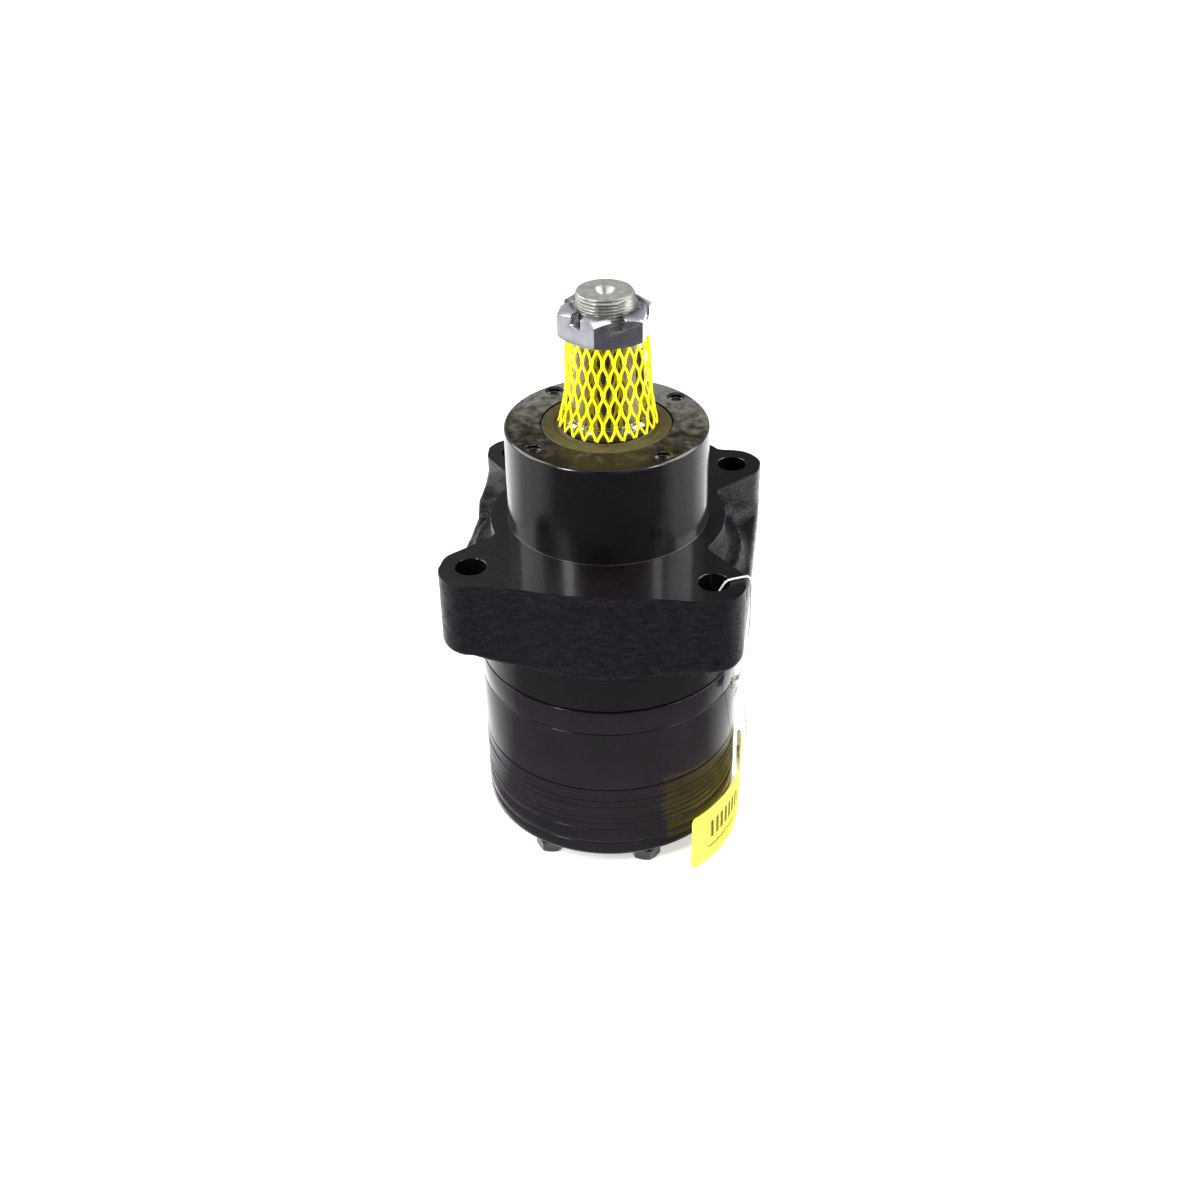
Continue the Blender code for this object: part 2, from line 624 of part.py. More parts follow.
def manifold():
    """Laminated distributor plate with one passage to each chamber of the rotor set."""
    passages = [circle(0.0030, 6, at_angle(0.0365, a)) for a in around(ROLLERS, COVER_BOLT_FIRST)]
    loops = [circle(BODY_R, BODY_FACETS), circle(0.0135, 20)] + passages + bolt_hole_loops()
    plate = prism("manifold", loops, MANIFOLD_END + GAP / 2, STATOR_END - GAP / 2, black_paint("manifold_paint"))
    return boolean(plate, cutter("manifold_groove_tool", [seal_groove(MANIFOLD_END, 1)]))


def commutator_offset():
    return ORBIT * (FRONT_SPLINE_Z - NOSE_Z) / (FRONT_SPLINE_Z - REAR_SPLINE_Z)


def commutator():
    """Orbiting valve ring: its centre is carried round the shaft axis by the link's nose."""
    low, high = RING_END + 0.0004, MANIFOLD_END - 0.0004
    groove_in, groove_out, depth = 0.0218, 0.0242, 0.0018
    piece = turned("commutator", [
        (0.0066, low), (groove_in, low), (groove_in, low + depth), (groove_out, low + depth),
        (groove_out, low), (0.0260, low), (0.0260, high), (0.0066, high)],
        material("commutator_bronze", (0.42, 0.30, 0.16), 0.35, 1.0))
    piece.location = (*at_angle(commutator_offset(), ORBIT_TURN), 0.0)
    seal = turned("commutator_seal", tube_profile(groove_in + GAP, groove_out - GAP, low, low + depth - GAP),
                  rubber("commutator_seal_rubber"))
    seal.location = piece.location


def commutator_ring():
    loops = [circle(BODY_R, BODY_FACETS), circle(0.0330, BODY_FACETS)] + bolt_hole_loops()
    return prism("commutator_ring", loops, RING_END + GAP / 2, MANIFOLD_END - GAP / 2,
                 black_paint("commutator_ring_paint"))


def end_cover():
    cover = turned("end_cover", [
        (0.0, COVER_END), (BODY_R - 0.0018, COVER_END), (BODY_R, COVER_END + 0.0018),
        (BODY_R, RING_END - GAP / 2), (0.0, RING_END - GAP / 2)], black_paint("end_cover_paint"), BODY_FACETS)
    holes = [cylinder_bmesh(COVER_BOLT_HOLE_R, COVER_END - 0.002, RING_END + 0.002, centre)
             for centre in bolt_centres()]
    return boolean(cover, cutter("cover_tool", holes + [seal_groove(RING_END, -1)]))


def body_seals():
    """Square-cut seals in the grooves outside the bolts, one at each joint of the stack."""
    joints = (("housing", HOUSING_END, 1), ("wear_plate", WEAR_END, 1), ("manifold", MANIFOLD_END, 1),
              ("cover", RING_END, -1))
    for name, joint, way in joints:
        low, high = sorted((joint, joint + way * (SEAL_GROOVE_DEPTH - GAP)))
        turned(name + "_body_seal", tube_profile(SEAL_GROOVE_IN + GAP, SEAL_GROOVE_OUT - GAP, low, high),
               rubber(name + "_seal_rubber"), GROOVE_FACETS)


def cover_bolts():
    """Seven long screws from below, heads standing on the ground."""
    head_r = COVER_HEAD_FLATS / 2 / cos(pi / 6)
    head_top = COVER_END - GAP
    for k, turn in enumerate(around(ROLLERS, COVER_BOLT_FIRST)):
        place = (*at_angle(COVER_BOLT_CIRCLE, turn), 0.0)
        bolt = prism("cover_bolt_%d" % (k + 1), [circle(head_r, 6, first=turn)], 0.0, head_top,
                     black_paint("bolt_paint_%d" % (k + 1)))
        shank = cutter("shank_tool_%d" % (k + 1),
                       [cylinder_bmesh(COVER_BOLT_R, head_top - 0.001, COVER_BOLT_TOP, segments=14)])
        boolean(bolt, shank, 'UNION')
        bolt.location = place
        shank.location = place


# ---- tag and string -----------------------------------------------------------------------------
def tag_path(turn):
    """Plan of the tag round the body: well clear at its free end, close in beside the string."""
    t = (turn - TAG_START) / (TAG_END - TAG_START)
    radius = 0.0735 - 0.0090 * min(1.0, t / 0.68) ** 1.25 + 0.0006 * max(0.0, t - 0.68)
    return at_angle(radius, radians(turn))


def tag():
    """Thin plastic tag standing on its long edge, with an eyelet and cut corners at the string end."""
    count = 20
    low, high = TAG_LIFT, TAG_LIFT + TAG_HEIGHT
    plan = [tag_path(TAG_START + (TAG_END - TAG_START) * i / count) for i in range(count + 1)]
    bm = bmesh.new()
    rows = []
    for i, (x, y) in enumerate(plan):
        before, after = plan[max(0, i - 1)], plan[min(count, i + 1)]
        dx, dy = after[0] - before[0], after[1] - before[1]
        size = hypot(dx, dy)
        out = (dy / size * TAG_THICK / 2, -dx / size * TAG_THICK / 2)
        left = hypot(plan[count][0] - x, plan[count][1] - y)
        cut = max(0.0, TAG_CORNER - left)
        rows.append([bm.verts.new((x + s * out[0], y + s * out[1], z))
                     for s, z in ((1, low + cut), (1, high - cut), (-1, high - cut), (-1, low + cut))])
    for here, there in zip(rows, rows[1:]):
        for k in range(4):
            n = (k + 1) % 4
            bm.faces.new((here[k], here[n], there[n], there[k]))
    bm.faces.new(rows[0])
    bm.faces.new(rows[-1])
    piece = add_object("tag", bm, material("tag_plastic", (0.95, 0.85, 0.05), 0.4))
    eye = Vector((*tag_path(EYELET_TURN), (low + high) / 2))
    outward = Matrix.Rotation(radians(EYELET_TURN), 4, 'Z') @ Matrix.Rotation(pi / 2, 4, 'Y')
    hole = cylinder_bmesh(EYELET_R, -0.01, 0.01, segments=14)
    bmesh.ops.transform(hole, matrix=Matrix.Translation(eye) @ outward, verts=hole.verts)
    return boolean(piece, cutter("eyelet_tool", [hole]))


def smooth_route(points, per_span):
    """Catmull-Rom curve through the route's own points."""
    padded = [2 * points[0] - points[1]] + points + [2 * points[-1] - points[-2]]
    route = []
    for a, b, c, d in zip(padded, padded[1:], padded[2:], padded[3:]):
        for i in range(per_span):
            t = i / per_span
            route.append(0.5 * (2 * b + (c - a) * t + (2 * a - 5 * b + 4 * c - d) * t ** 2
                                + (3 * b - a - 3 * c + d) * t ** 3))
    route.append(points[-1])
    return route


def string_route():
    """From the knot up under the ear, through the bolt hole, over its edge, and down to the tag's eyelet."""
    top, under, knot = FLANGE_Z, BLOCK_BASE, KNOT_Z
    places = [
        (0.0612, -0.0215, knot - 0.0040), (0.0608, -0.0222, knot + 0.0030),
        (0.0613, -0.0290, knot + 0.0170), (0.0600, -0.0375, under - 0.0120),
        (0.0568, -0.0450, under - 0.0055), (0.0545, -0.0486, under - 0.0005),
        (0.0533, -0.0503, under + 0.0080), (0.0529, -0.0510, under + 0.0190),
        (0.0536, -0.0520, top - 0.0080), (0.0553, -0.0523, top - 0.0028),
        (0.0573, -0.0517, top + 0.0004), (0.0593, -0.0507, top + 0.0010),
        (0.0618, -0.0491, top + 0.0008), (0.0645, -0.0478, top + 0.0008),
        (0.0662, -0.0471, top + 0.0006), (0.0673, -0.0464, top - 0.0012),
        (0.0677, -0.0453, top - 0.0050), (0.0677, -0.0430, top - 0.0150),
        (0.0676, -0.0392, top - 0.0290),
        (0.0667, -0.0345, top - 0.0450), (0.0645, -0.0282, top - 0.0620),
        (0.0632, -0.0222, knot + 0.0040), (0.0637, -0.0180, knot - 0.0060),
        (0.0655, -0.0120, knot - 0.0190), (0.0664, -0.0050, knot - 0.0330),
        (0.0668, 0.0040, knot - 0.0460), (0.0664, 0.0110, knot - 0.0560),
        (0.0652, 0.0138, 0.0178), (0.0638, 0.0141, 0.0163), (0.0626, 0.0139, 0.0152)]
    return smooth_route([Vector(p) for p in places], 2)


def tag_tie():
    """White string through the right front bolt hole."""
    curve = bpy.data.curves.new("tag_tie", 'CURVE')
    curve.dimensions = '3D'
    curve.bevel_depth = STRING_R
    curve.bevel_resolution = 2
    curve.use_fill_caps = True
    route = string_route()
    line = curve.splines.new('POLY')
    line.points.add(len(route) - 1)
    for point, place in zip(line.points, route):
        point.co = (*place, 1.0)
    curve.materials.append(material("string_white", (0.9, 0.9, 0.88), 0.8))
    obj = bpy.data.objects.new("tag_tie", curve)
    bpy.context.scene.collection.objects.link(obj)
    return obj


# ---- the motor ----------------------------------------------------------------------------------
def build():
    clear_scene()
    housing()
    dirt_seal()
    shaft_seal()
    backup_washer()
    retaining_ring()
    needle_bearings()
    thrust_bearings()
    coupling_shaft()
    woodruff_key()
    slotted_nut()
    shaft_sleeve()
    drive_link()
    wear_plate()
    stator_ring()
    rollers()
    rotor()
    manifold()
    commutator()
    commutator_ring()
    end_cover()
    body_seals()
    cover_bolts()
    tag_tie()
    tag()


build()
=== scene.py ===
"""Looks of the hydraulic wheel motor: cast housing, tapered shaft, slotted nut, net sleeve, rear stack, tag.

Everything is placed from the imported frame.  Metres, +Z up, shaft axis on Z.
"""
import json
import math
from math import cos, sin, pi, radians

import bmesh
import bpy
import numpy as np
from mathutils import Matrix, Vector


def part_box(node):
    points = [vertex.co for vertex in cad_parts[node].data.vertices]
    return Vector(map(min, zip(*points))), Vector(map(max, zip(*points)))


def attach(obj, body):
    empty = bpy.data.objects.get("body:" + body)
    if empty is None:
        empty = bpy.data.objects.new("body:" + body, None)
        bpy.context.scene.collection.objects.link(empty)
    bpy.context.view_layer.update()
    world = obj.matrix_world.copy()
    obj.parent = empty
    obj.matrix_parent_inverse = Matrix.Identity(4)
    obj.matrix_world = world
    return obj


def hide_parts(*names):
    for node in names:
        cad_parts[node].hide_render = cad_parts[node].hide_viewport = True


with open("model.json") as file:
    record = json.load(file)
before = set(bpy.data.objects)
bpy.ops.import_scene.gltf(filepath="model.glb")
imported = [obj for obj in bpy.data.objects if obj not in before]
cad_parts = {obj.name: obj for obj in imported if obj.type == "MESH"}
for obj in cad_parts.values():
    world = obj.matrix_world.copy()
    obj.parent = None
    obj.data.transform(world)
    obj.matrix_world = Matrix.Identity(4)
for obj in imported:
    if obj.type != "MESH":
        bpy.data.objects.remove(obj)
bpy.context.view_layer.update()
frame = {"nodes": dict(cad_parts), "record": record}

MM = 0.001

# ---- places, read from the frame ----------------------------------------------------------------


def low(node):
    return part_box(node)[0]


def high(node):
    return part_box(node)[1]


def heights(node):
    return low(node)[2], high(node)[2]


def mount(name):
    """A mount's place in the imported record."""
    return next(m["pos_m"] for m in frame["record"]["mounts"] if m["name"] == name)


FLANGE_Z = mount("flange_face")[2]
HUB_TOP = high("housing")[2]
HOUSING_END = low("housing")[2]
BLOCK_X = high("housing")[0]
FACE_Y = high("housing")[1]
BODY_R = high("stator_ring")[0]
SHAFT_END = high("coupling_shaft")[2]
NUT_BASE = low("slotted_nut")[2]
NUT_TOP = high("slotted_nut")[2]
COVER_BASE = low("end_cover")[2]
SEAL_R = high("dirt_seal")[0]

EAR_R = 14.1 * MM
BOLT_SQUARE = BLOCK_X - EAR_R
FRONT_Y = 68.0 * MM
SWELL_HALF = 27.0 * MM
PORT_PAD_HALF = 41.0 * MM
BOLT_HOLE_R = 6.75 * MM
HUB_R = 45.0 * MM
RING_R = 53.0 * MM
LEDGE_Z = FLANGE_Z - 20.0 * MM
BLOCK_BASE = FLANGE_Z - 38.0 * MM
PORT_X = 22.0 * MM
PORT_Z = mount("port_face")[2]
TAPPED_CIRCLE = 39.1 * MM
BORE_R = 34.2 * MM                   # rear bore of the housing

KEY_LOW, KEY_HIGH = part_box("woodruff_key")
KEY_Z = (KEY_LOW[2] + KEY_HIGH[2]) / 2

JOURNAL_R = 19.05 * MM
TAPER_START = FLANGE_Z + 50.3 * MM
TAPER_R = 15.875 * MM
TAPER_RATE = 1 / 16
TAPER_END = FLANGE_Z + 87.0 * MM
THREAD_R = 12.7 * MM
THREAD_PITCH = 1.39 * MM
THREAD_DEPTH = 0.80 * MM

NUT_FLATS = 36.5 * MM
NUT_TURN = radians(-94.6)
NUT_CORNER_Z = FLANGE_Z + 98.3 * MM

NUT_SOFTENING = 0.00045              # bevel along the nut's edges
CHAMFER_30 = 0.577                   # rise over run of a 30 degree chamfer

OVER = 1.0 * MM                      # how far a cutting tool runs past the face that it opens in
GROOVE_IN = 57.6 * MM                # body seals' grooves in the faces of the stack
GROOVE_OUT = 59.7 * MM
GROOVE_DEPTH = 1.6 * MM

COVER_BOLTS = 7
COVER_BOLT_CIRCLE = mount("standing_bolt_head")[1]
COVER_BOLT_HOLE = 4.4 * MM

HOUSING_BODY = "housing_body"
SHAFT_BODY = "shaft"

WORLD_STRENGTH = 0.55
FLOOR_GLOW = 0.55


# ---- mesh tools ---------------------------------------------------------------------------------
def new_object(name, mesh, mat=None, sharp=35.0):
    mesh.shade_smooth()
    mesh.set_sharp_from_angle(angle=radians(sharp))
    if mat:
        mesh.materials.clear()
        mesh.materials.append(mat)
    obj = bpy.data.objects.new(name, mesh)
    bpy.context.scene.collection.objects.link(obj)
    return obj


def from_bmesh(name, bm, mat=None, sharp=35.0):
    bmesh.ops.recalc_face_normals(bm, faces=bm.faces)
    mesh = bpy.data.meshes.new(name)
    bm.to_mesh(mesh)
    bm.free()
    return new_object(name, mesh, mat, sharp)


def from_arrays(name, verts, faces, mat=None, sharp=35.0):
    """Object from an (n, 3) array and an (m, 4) array of quads."""
    mesh = bpy.data.meshes.new(name)
    mesh.from_pydata(np.asarray(verts).tolist(), [], np.asarray(faces).tolist())
    mesh.update()
    bm = bmesh.new()
    bm.from_mesh(mesh)
    bmesh.ops.recalc_face_normals(bm, faces=bm.faces)
    bm.to_mesh(mesh)
    bm.free()
    return new_object(name, mesh, mat, sharp)


def circle(radius, count, centre=(0.0, 0.0), first=0.0):
    step = 2 * pi / count
    return [(centre[0] + radius * cos(first + i * step), centre[1] + radius * sin(first + i * step))
            for i in range(count)]


def at_angle(radius, angle):
    return (radius * cos(angle), radius * sin(angle))


def around(count, first=0.0):
    return [first + 2 * pi * i / count for i in range(count)]


def shift(x, y):
    return Matrix.Translation((x, y, 0.0))


def placed(bm, matrix):
    bmesh.ops.transform(bm, matrix=matrix, verts=bm.verts)
    return bm


def bridge(bm, rings):
    """Skin over a run of equal rings of vertices, capped at both ends."""
    for here, there in zip(rings, rings[1:]):
        for k in range(len(here)):
            n = (k + 1) % len(here)
            bm.faces.new((here[k], here[n], there[n], there[k]))
    bm.faces.new(rings[0][::-1])
    bm.faces.new(rings[-1])


def turned_bmesh(profile, segments=128):
    """Closed (r, z) outline turned round Z; a point at r = 0 becomes a pole."""
    bm = bmesh.new()
    rings = []
    for r, z in profile:
        if r == 0.0:
            rings.append([bm.verts.new((0.0, 0.0, z))] * segments)
        else:
            rings.append([bm.verts.new((x, y, z)) for x, y in circle(r, segments)])
    for here, there in zip(rings, rings[1:] + rings[:1]):
        if here[0] is here[1] and there[0] is there[1]:
            continue
        for i in range(segments):
            j = (i + 1) % segments
            bm.faces.new(list(dict.fromkeys([here[i], here[j], there[j], there[i]])))
    return bm


def turned(name, profile, mat=None, segments=128, sharp=35.0):
    return from_bmesh(name, turned_bmesh(profile, segments), mat, sharp)


def rounded(profile, radius, steps=3):
    """The (r, z) outline with each corner off the axis replaced by a small arc."""
    out = []
    count = len(profile)
    for i, point in enumerate(profile):
        here = Vector(point)
        before = Vector(profile[i - 1]) - here
        after = Vector(profile[(i + 1) % count]) - here
        reach = min(radius, before.length * 0.45, after.length * 0.45)
        if point[0] == 0.0 or reach < 1e-6:
            out.append(point)
            continue
        a = here + before.normalized() * reach
        b = here + after.normalized() * reach
        for k in range(steps + 1):
            t = k / steps
            p = a * (1 - t) ** 2 + here * 2 * t * (1 - t) + b * t ** 2
            out.append((p.x, p.y))
    return out


def prism_bmesh(loops, base, top):
    """Upright prism: the first loop is its outline and the others are holes."""
    bm = bmesh.new()
    edges = []
    for loop in loops:
        verts = [bm.verts.new((x, y, base)) for x, y in loop]
        edges += [bm.edges.new((verts[i], verts[(i + 1) % len(verts)])) for i in range(len(verts))]
    bmesh.ops.triangle_fill(bm, use_beauty=True, use_dissolve=False, edges=edges)
    grown = bmesh.ops.extrude_face_region(bm, geom=bm.faces[:])
    moved = [item for item in grown["geom"] if isinstance(item, bmesh.types.BMVert)]
    bmesh.ops.translate(bm, vec=(0.0, 0.0, top - base), verts=moved)
    return bm


def joined(parts):
    """One bmesh from several."""
    whole = bmesh.new()
    for part in parts:
        bmesh.ops.recalc_face_normals(part, faces=part.faces)
        mesh = bpy.data.meshes.new("part")
        part.to_mesh(mesh)
        part.free()
        whole.from_mesh(mesh)
        bpy.data.meshes.remove(mesh)
    return whole


def apply_modifiers(obj, sharp=35.0):
    """The modifiers' result becomes the mesh, with its sharp edges marked again."""
    graph = bpy.context.evaluated_depsgraph_get()
    mesh = bpy.data.meshes.new_from_object(obj.evaluated_get(graph))
    old = obj.data
    obj.modifiers.clear()
    obj.data = mesh
    bpy.data.meshes.remove(old)
    mesh.shade_smooth()
    mesh.set_sharp_from_angle(angle=radians(sharp))


def cut(obj, tool_bmesh, operation='DIFFERENCE', sharp=35.0):
    """Boolean with a throwaway tool, applied at once."""
    tool = from_bmesh("tool", tool_bmesh)
    mod = obj.modifiers.new("cut", 'BOOLEAN')
    mod.operation = operation
    mod.solver = 'MANIFOLD'
    mod.object = tool
    apply_modifiers(obj, sharp)
    mesh = tool.data
    bpy.data.objects.remove(tool, do_unlink=True)
    bpy.data.meshes.remove(mesh)
    while len(obj.data.materials) > 1:
        obj.data.materials.pop()


def bevel(obj, width, angle):
    mod = obj.modifiers.new("bevel", 'BEVEL')
    mod.width = width
    mod.segments = 2
    mod.limit_method = 'ANGLE'
    mod.angle_limit = radians(angle)
    mod.harden_normals = False
    apply_modifiers(obj)


def finish_piece(obj, body, slot, *nodes):
    """Every piece rides on a body and stands for its CAD nodes; its slot argument is not used."""
    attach(obj, body)
    if nodes:
        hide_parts(*nodes)
    return obj


# ---- noise and distance fields ------------------------------------------------------------------
LATTICE_SIZE = 32
LATTICE = np.random.default_rng(7).random((LATTICE_SIZE,) * 3)


def value_noise(x, y, z, size):
    """Smooth noise from 0 to 1 with features of the given size."""
    total = 0.0
    px, py, pz = x / size, y / size, z / size
    ix, iy, iz = np.floor(px).astype(int), np.floor(py).astype(int), np.floor(pz).astype(int)
    fx, fy, fz = px - ix, py - iy, pz - iz
    fx, fy, fz = (f * f * (3 - 2 * f) for f in (fx, fy, fz))
    for dx in (0, 1):
        for dy in (0, 1):
            for dz in (0, 1):
                weight = (fx if dx else 1 - fx) * (fy if dy else 1 - fy) * (fz if dz else 1 - fz)
                total = total + weight * LATTICE[(ix + dx) % LATTICE_SIZE, (iy + dy) % LATTICE_SIZE,
                                                 (iz + dz) % LATTICE_SIZE]
    return total


def smooth_max(a, b, k):
    h = np.maximum(k - np.abs(a - b), 0.0) / k
    return np.maximum(a, b) + h * h * k * 0.25


def smooth_min(a, b, k):
    return -smooth_max(-a, -b, k)


def surface_nets(field, step, start):
    """Quads on the zero surface of a sampled field, negative inside, one vertex per crossed cell."""
    inside = field < 0
    shape = np.array(field.shape) - 1
    total = np.zeros((*shape, 3))
    count = np.zeros(shape)
    corners = [np.array(c) for c in np.ndindex(2, 2, 2)]
    for a in corners:
        for axis in range(3):
            if a[axis]:
                continue
            b = a.copy()
            b[axis] = 1
            fa = field[a[0]:a[0] + shape[0], a[1]:a[1] + shape[1], a[2]:a[2] + shape[2]]
            fb = field[b[0]:b[0] + shape[0], b[1]:b[1] + shape[1], b[2]:b[2] + shape[2]]
            crossed = (fa < 0) != (fb < 0)
            t = np.where(crossed, fa / np.where(crossed, fa - fb, 1.0), 0.0)
            for k in range(3):
                total[..., k] += np.where(crossed, a[k] + (t if k == axis else 0.0), 0.0)
            count += crossed
    used = count > 0
    index = np.full(shape, -1)
    index[used] = np.arange(used.sum())
    cells = np.argwhere(used)
    verts = (cells + total[used] / count[used][:, None]) * step + np.array(start)
    quads = []
    for axis in range(3):
        u, v = (axis + 1) % 3, (axis + 2) % 3
        ahead = [slice(None)] * 3
        ahead[axis] = slice(1, None)
        behind = [slice(None)] * 3
        behind[axis] = slice(None, -1)
        changed = inside[tuple(behind)] != inside[tuple(ahead)]
        places = np.argwhere(changed)
        places = places[(places[:, u] > 0) & (places[:, v] > 0) & (places[:, u] < shape[u])
                        & (places[:, v] < shape[v])]
        flip = inside[tuple(places.T)]
        ring = []
        for du, dv in ((1, 1), (0, 1), (0, 0), (1, 0)):
            cell = places.copy()
            cell[:, u] -= du
            cell[:, v] -= dv
            ring.append(index[tuple(cell.T)])
        quad = np.stack(ring, axis=1)
        quad[~flip] = quad[~flip][:, ::-1]
        quads.append(quad)
    return verts, np.concatenate(quads)


# ---- materials ----------------------------------------------------------------------------------
class Nodes:
    """Short way to write the nodes of a material, or of another owner of a node tree."""
    def __init__(self, name, owner=None, shader="Principled BSDF"):
        self.mat = owner or bpy.data.materials.new(name)
        self.mat.use_nodes = True
        self.tree = self.mat.node_tree
        self.shader = self.tree.nodes[shader]

    def node(self, kind, **values):
        node = self.tree.nodes.new(kind)
        for key, value in values.items():
            setattr(node, key, value)
        return node

    def link(self, source, target):
        self.tree.links.new(source, target)

    def set(self, **values):
        """Shader sockets by name, with _ for a space."""
        for key, value in values.items():
            self.shader.inputs[key.replace("_", " ")].default_value = value

    def coords(self, kind="Object"):
        return self.node("ShaderNodeTexCoord").outputs[kind]

    def axes(self, source=None):
        """The three parts of a vector: of the place on the object unless another is given."""
        split = self.node("ShaderNodeSeparateXYZ")
        self.link(source or self.coords(), split.inputs[0])
        return split.outputs

    def stretched(self, scale, source=None):
        mapping = self.node("ShaderNodeMapping")
        mapping.inputs["Scale"].default_value = scale
        self.link(source or self.coords(), mapping.inputs["Vector"])
        return mapping.outputs["Vector"]

    def noise(self, scale, detail=4.0, rough=0.55, source=None):
        node = self.node("ShaderNodeTexNoise")
        node.inputs["Scale"].default_value = scale
        node.inputs["Detail"].default_value = detail
        node.inputs["Roughness"].default_value = rough
        self.link(source or self.coords(), node.inputs["Vector"])
        return node.outputs["Fac"]

    def cells(self, scale, source=None):
        node = self.node("ShaderNodeTexVoronoi")
        node.inputs["Scale"].default_value = scale
        self.link(source or self.coords(), node.inputs["Vector"])
        return node.outputs["Distance"]

    def ramp(self, factor, stops):
        node = self.node("ShaderNodeValToRGB")
        element = node.color_ramp.elements
        while len(element) < len(stops):
            element.new(0.5)
        for item, (place, colour) in zip(element, stops):
            item.position = place
            item.color = (*colour, 1.0)
        self.link(factor, node.inputs["Fac"])
        return node.outputs["Color"]

    def grey(self, factor, stops):
        return self.ramp(factor, [(place, (v, v, v)) for place, v in stops])

    def mottled(self, scale, detail, first, last, rough=0.55):
        """Colour, or grey where the two are numbers, that wanders between them with the noise."""
        ramp = self.ramp if isinstance(first, tuple) else self.grey
        return ramp(self.noise(scale, detail, rough), [(0.3, first), (0.7, last)])

    def math(self, operation, a, b=0.0):
        node = self.node("ShaderNodeMath", operation=operation)
        for socket, value in zip(node.inputs, (a, b)):
            if isinstance(value, (int, float)):
                socket.default_value = value
            else:
                self.link(value, socket)
        return node.outputs[0]

    def colour(self, source):
        self.link(source, self.shader.inputs["Base Color"])

    def roughness(self, source):
        self.link(source, self.shader.inputs["Roughness"])

    def bump(self, *layers):
        """Layers of (height, strength, distance), stacked."""
        normal = None
        for height, strength, distance in layers:
            node = self.node("ShaderNodeBump")
            node.inputs["Strength"].default_value = strength
            node.inputs["Distance"].default_value = distance
            self.link(height, node.inputs["Height"])
            if normal:
                self.link(normal, node.inputs["Normal"])
            normal = node.outputs["Normal"]
        self.link(normal, self.shader.inputs["Normal"])

    def radius(self):
        """Distance from the shaft axis."""
        x, y, _ = self.axes()
        return self.math('SQRT', self.math('ADD', self.math('MULTIPLY', x, x), self.math('MULTIPLY', y, y)))

    def waves(self, value, spacing):
        """Fine ridges along a length, spaced in metres."""
        return self.math('SINE', self.math('MULTIPLY', value, 2 * pi / spacing))


PAINT = (0.0078, 0.0060, 0.0084)


def cast_paint():
    """Gloss black over as-cast iron: fine level streaks, pits and a faint orange peel."""
    n = Nodes("cast_black_paint")
    n.set(Metallic=0.0, IOR=1.35)
    streaks = n.noise(420, 6, 0.66, n.stretched((0.50, 0.50, 1.6)))
    n.colour(n.ramp(streaks, [(0.34, (0.0042, 0.0035, 0.0052)), (0.50, (0.0078, 0.0064, 0.0094)),
                              (0.66, (0.0135, 0.0115, 0.0155))]))
    n.roughness(n.grey(n.noise(420, 5), [(0.3, 0.18), (0.75, 0.32)]))
    pits = n.grey(n.cells(560, n.stretched((0.45, 0.45, 1.5))), [(0.05, 0.0), (0.30, 1.0)])
    n.bump((streaks, 0.75, 0.0013), (pits, 0.25, 0.0004), (n.noise(1600, 2), 0.15, 0.0002))
    return n.mat


def smooth_paint(name, rough=(0.13, 0.24), turned_spacing=0.0, tone=1.0):
    """Gloss black over machined steel, with fine turning lines round the axis where asked."""
    n = Nodes(name)
    n.set(Metallic=0.0, IOR=1.48, Coat_Weight=0.3, Coat_Roughness=0.06)
    n.colour(n.ramp(n.noise(60, 3), [(0.3, tuple(c * tone for c in PAINT)),
                                     (0.75, tuple(c * tone * 1.6 for c in PAINT))]))
    streaks = n.noise(35, 4, 0.6, n.stretched((1.0, 1.0, 14.0)))
    n.roughness(n.grey(streaks, [(0.25, rough[0]), (0.75, rough[1])]))
    layers = [(n.noise(260, 3), 0.10, 0.0006), (n.noise(1400, 2), 0.12, 0.0001)]
    if turned_spacing:
        layers.append((n.waves(n.axes()[2], turned_spacing), 0.10, 0.00004))
    n.bump(*layers)
    return n.mat


def faced_paint():
    """Painted faces turned in the lathe: rings round the axis, specks of dust and a soft sheen."""
    n = Nodes("faced_black_paint")
    n.set(Metallic=0.0, IOR=1.42, Coat_Weight=0.7, Coat_Roughness=0.05)
    n.colour(n.ramp(n.noise(70, 4), [(0.3, (0.0026, 0.0014, 0.0018)), (0.75, (0.0052, 0.0032, 0.0038))]))
    n.roughness(n.mottled(160, 5, 0.30, 0.42))
    rings = n.waves(n.radius(), 0.0007)
    specks = n.grey(n.cells(700), [(0.03, 1.0), (0.10, 0.0)])
    n.bump((rings, 0.10, 0.00005), (n.noise(420, 5), 0.28, 0.0005), (specks, 0.12, 0.0002))
    return n.mat


def hub_paint():
    """Painted end face of the hub: flatter and greyer than the flange, mottled, darker and browner towards
    the front and greyer towards the back.
    """
    n = Nodes("hub_face_paint")
    n.set(Metallic=0.0, IOR=1.45, Specular_IOR_Level=0.22)
    towards_back = n.math('MULTIPLY', n.axes()[1], 5.0)
    n.colour(n.ramp(n.math('ADD', n.noise(170, 7, 0.74), towards_back),
                    [(0.35, (0.008, 0.005, 0.002)), (0.48, (0.048, 0.041, 0.030)),
                     (0.66, (0.155, 0.150, 0.148))]))
    n.roughness(n.mottled(300, 5, 0.34, 0.52))
    n.bump((n.waves(n.radius(), 0.0007), 0.08, 0.00005), (n.noise(520, 5), 0.30, 0.0004))
    return n.mat


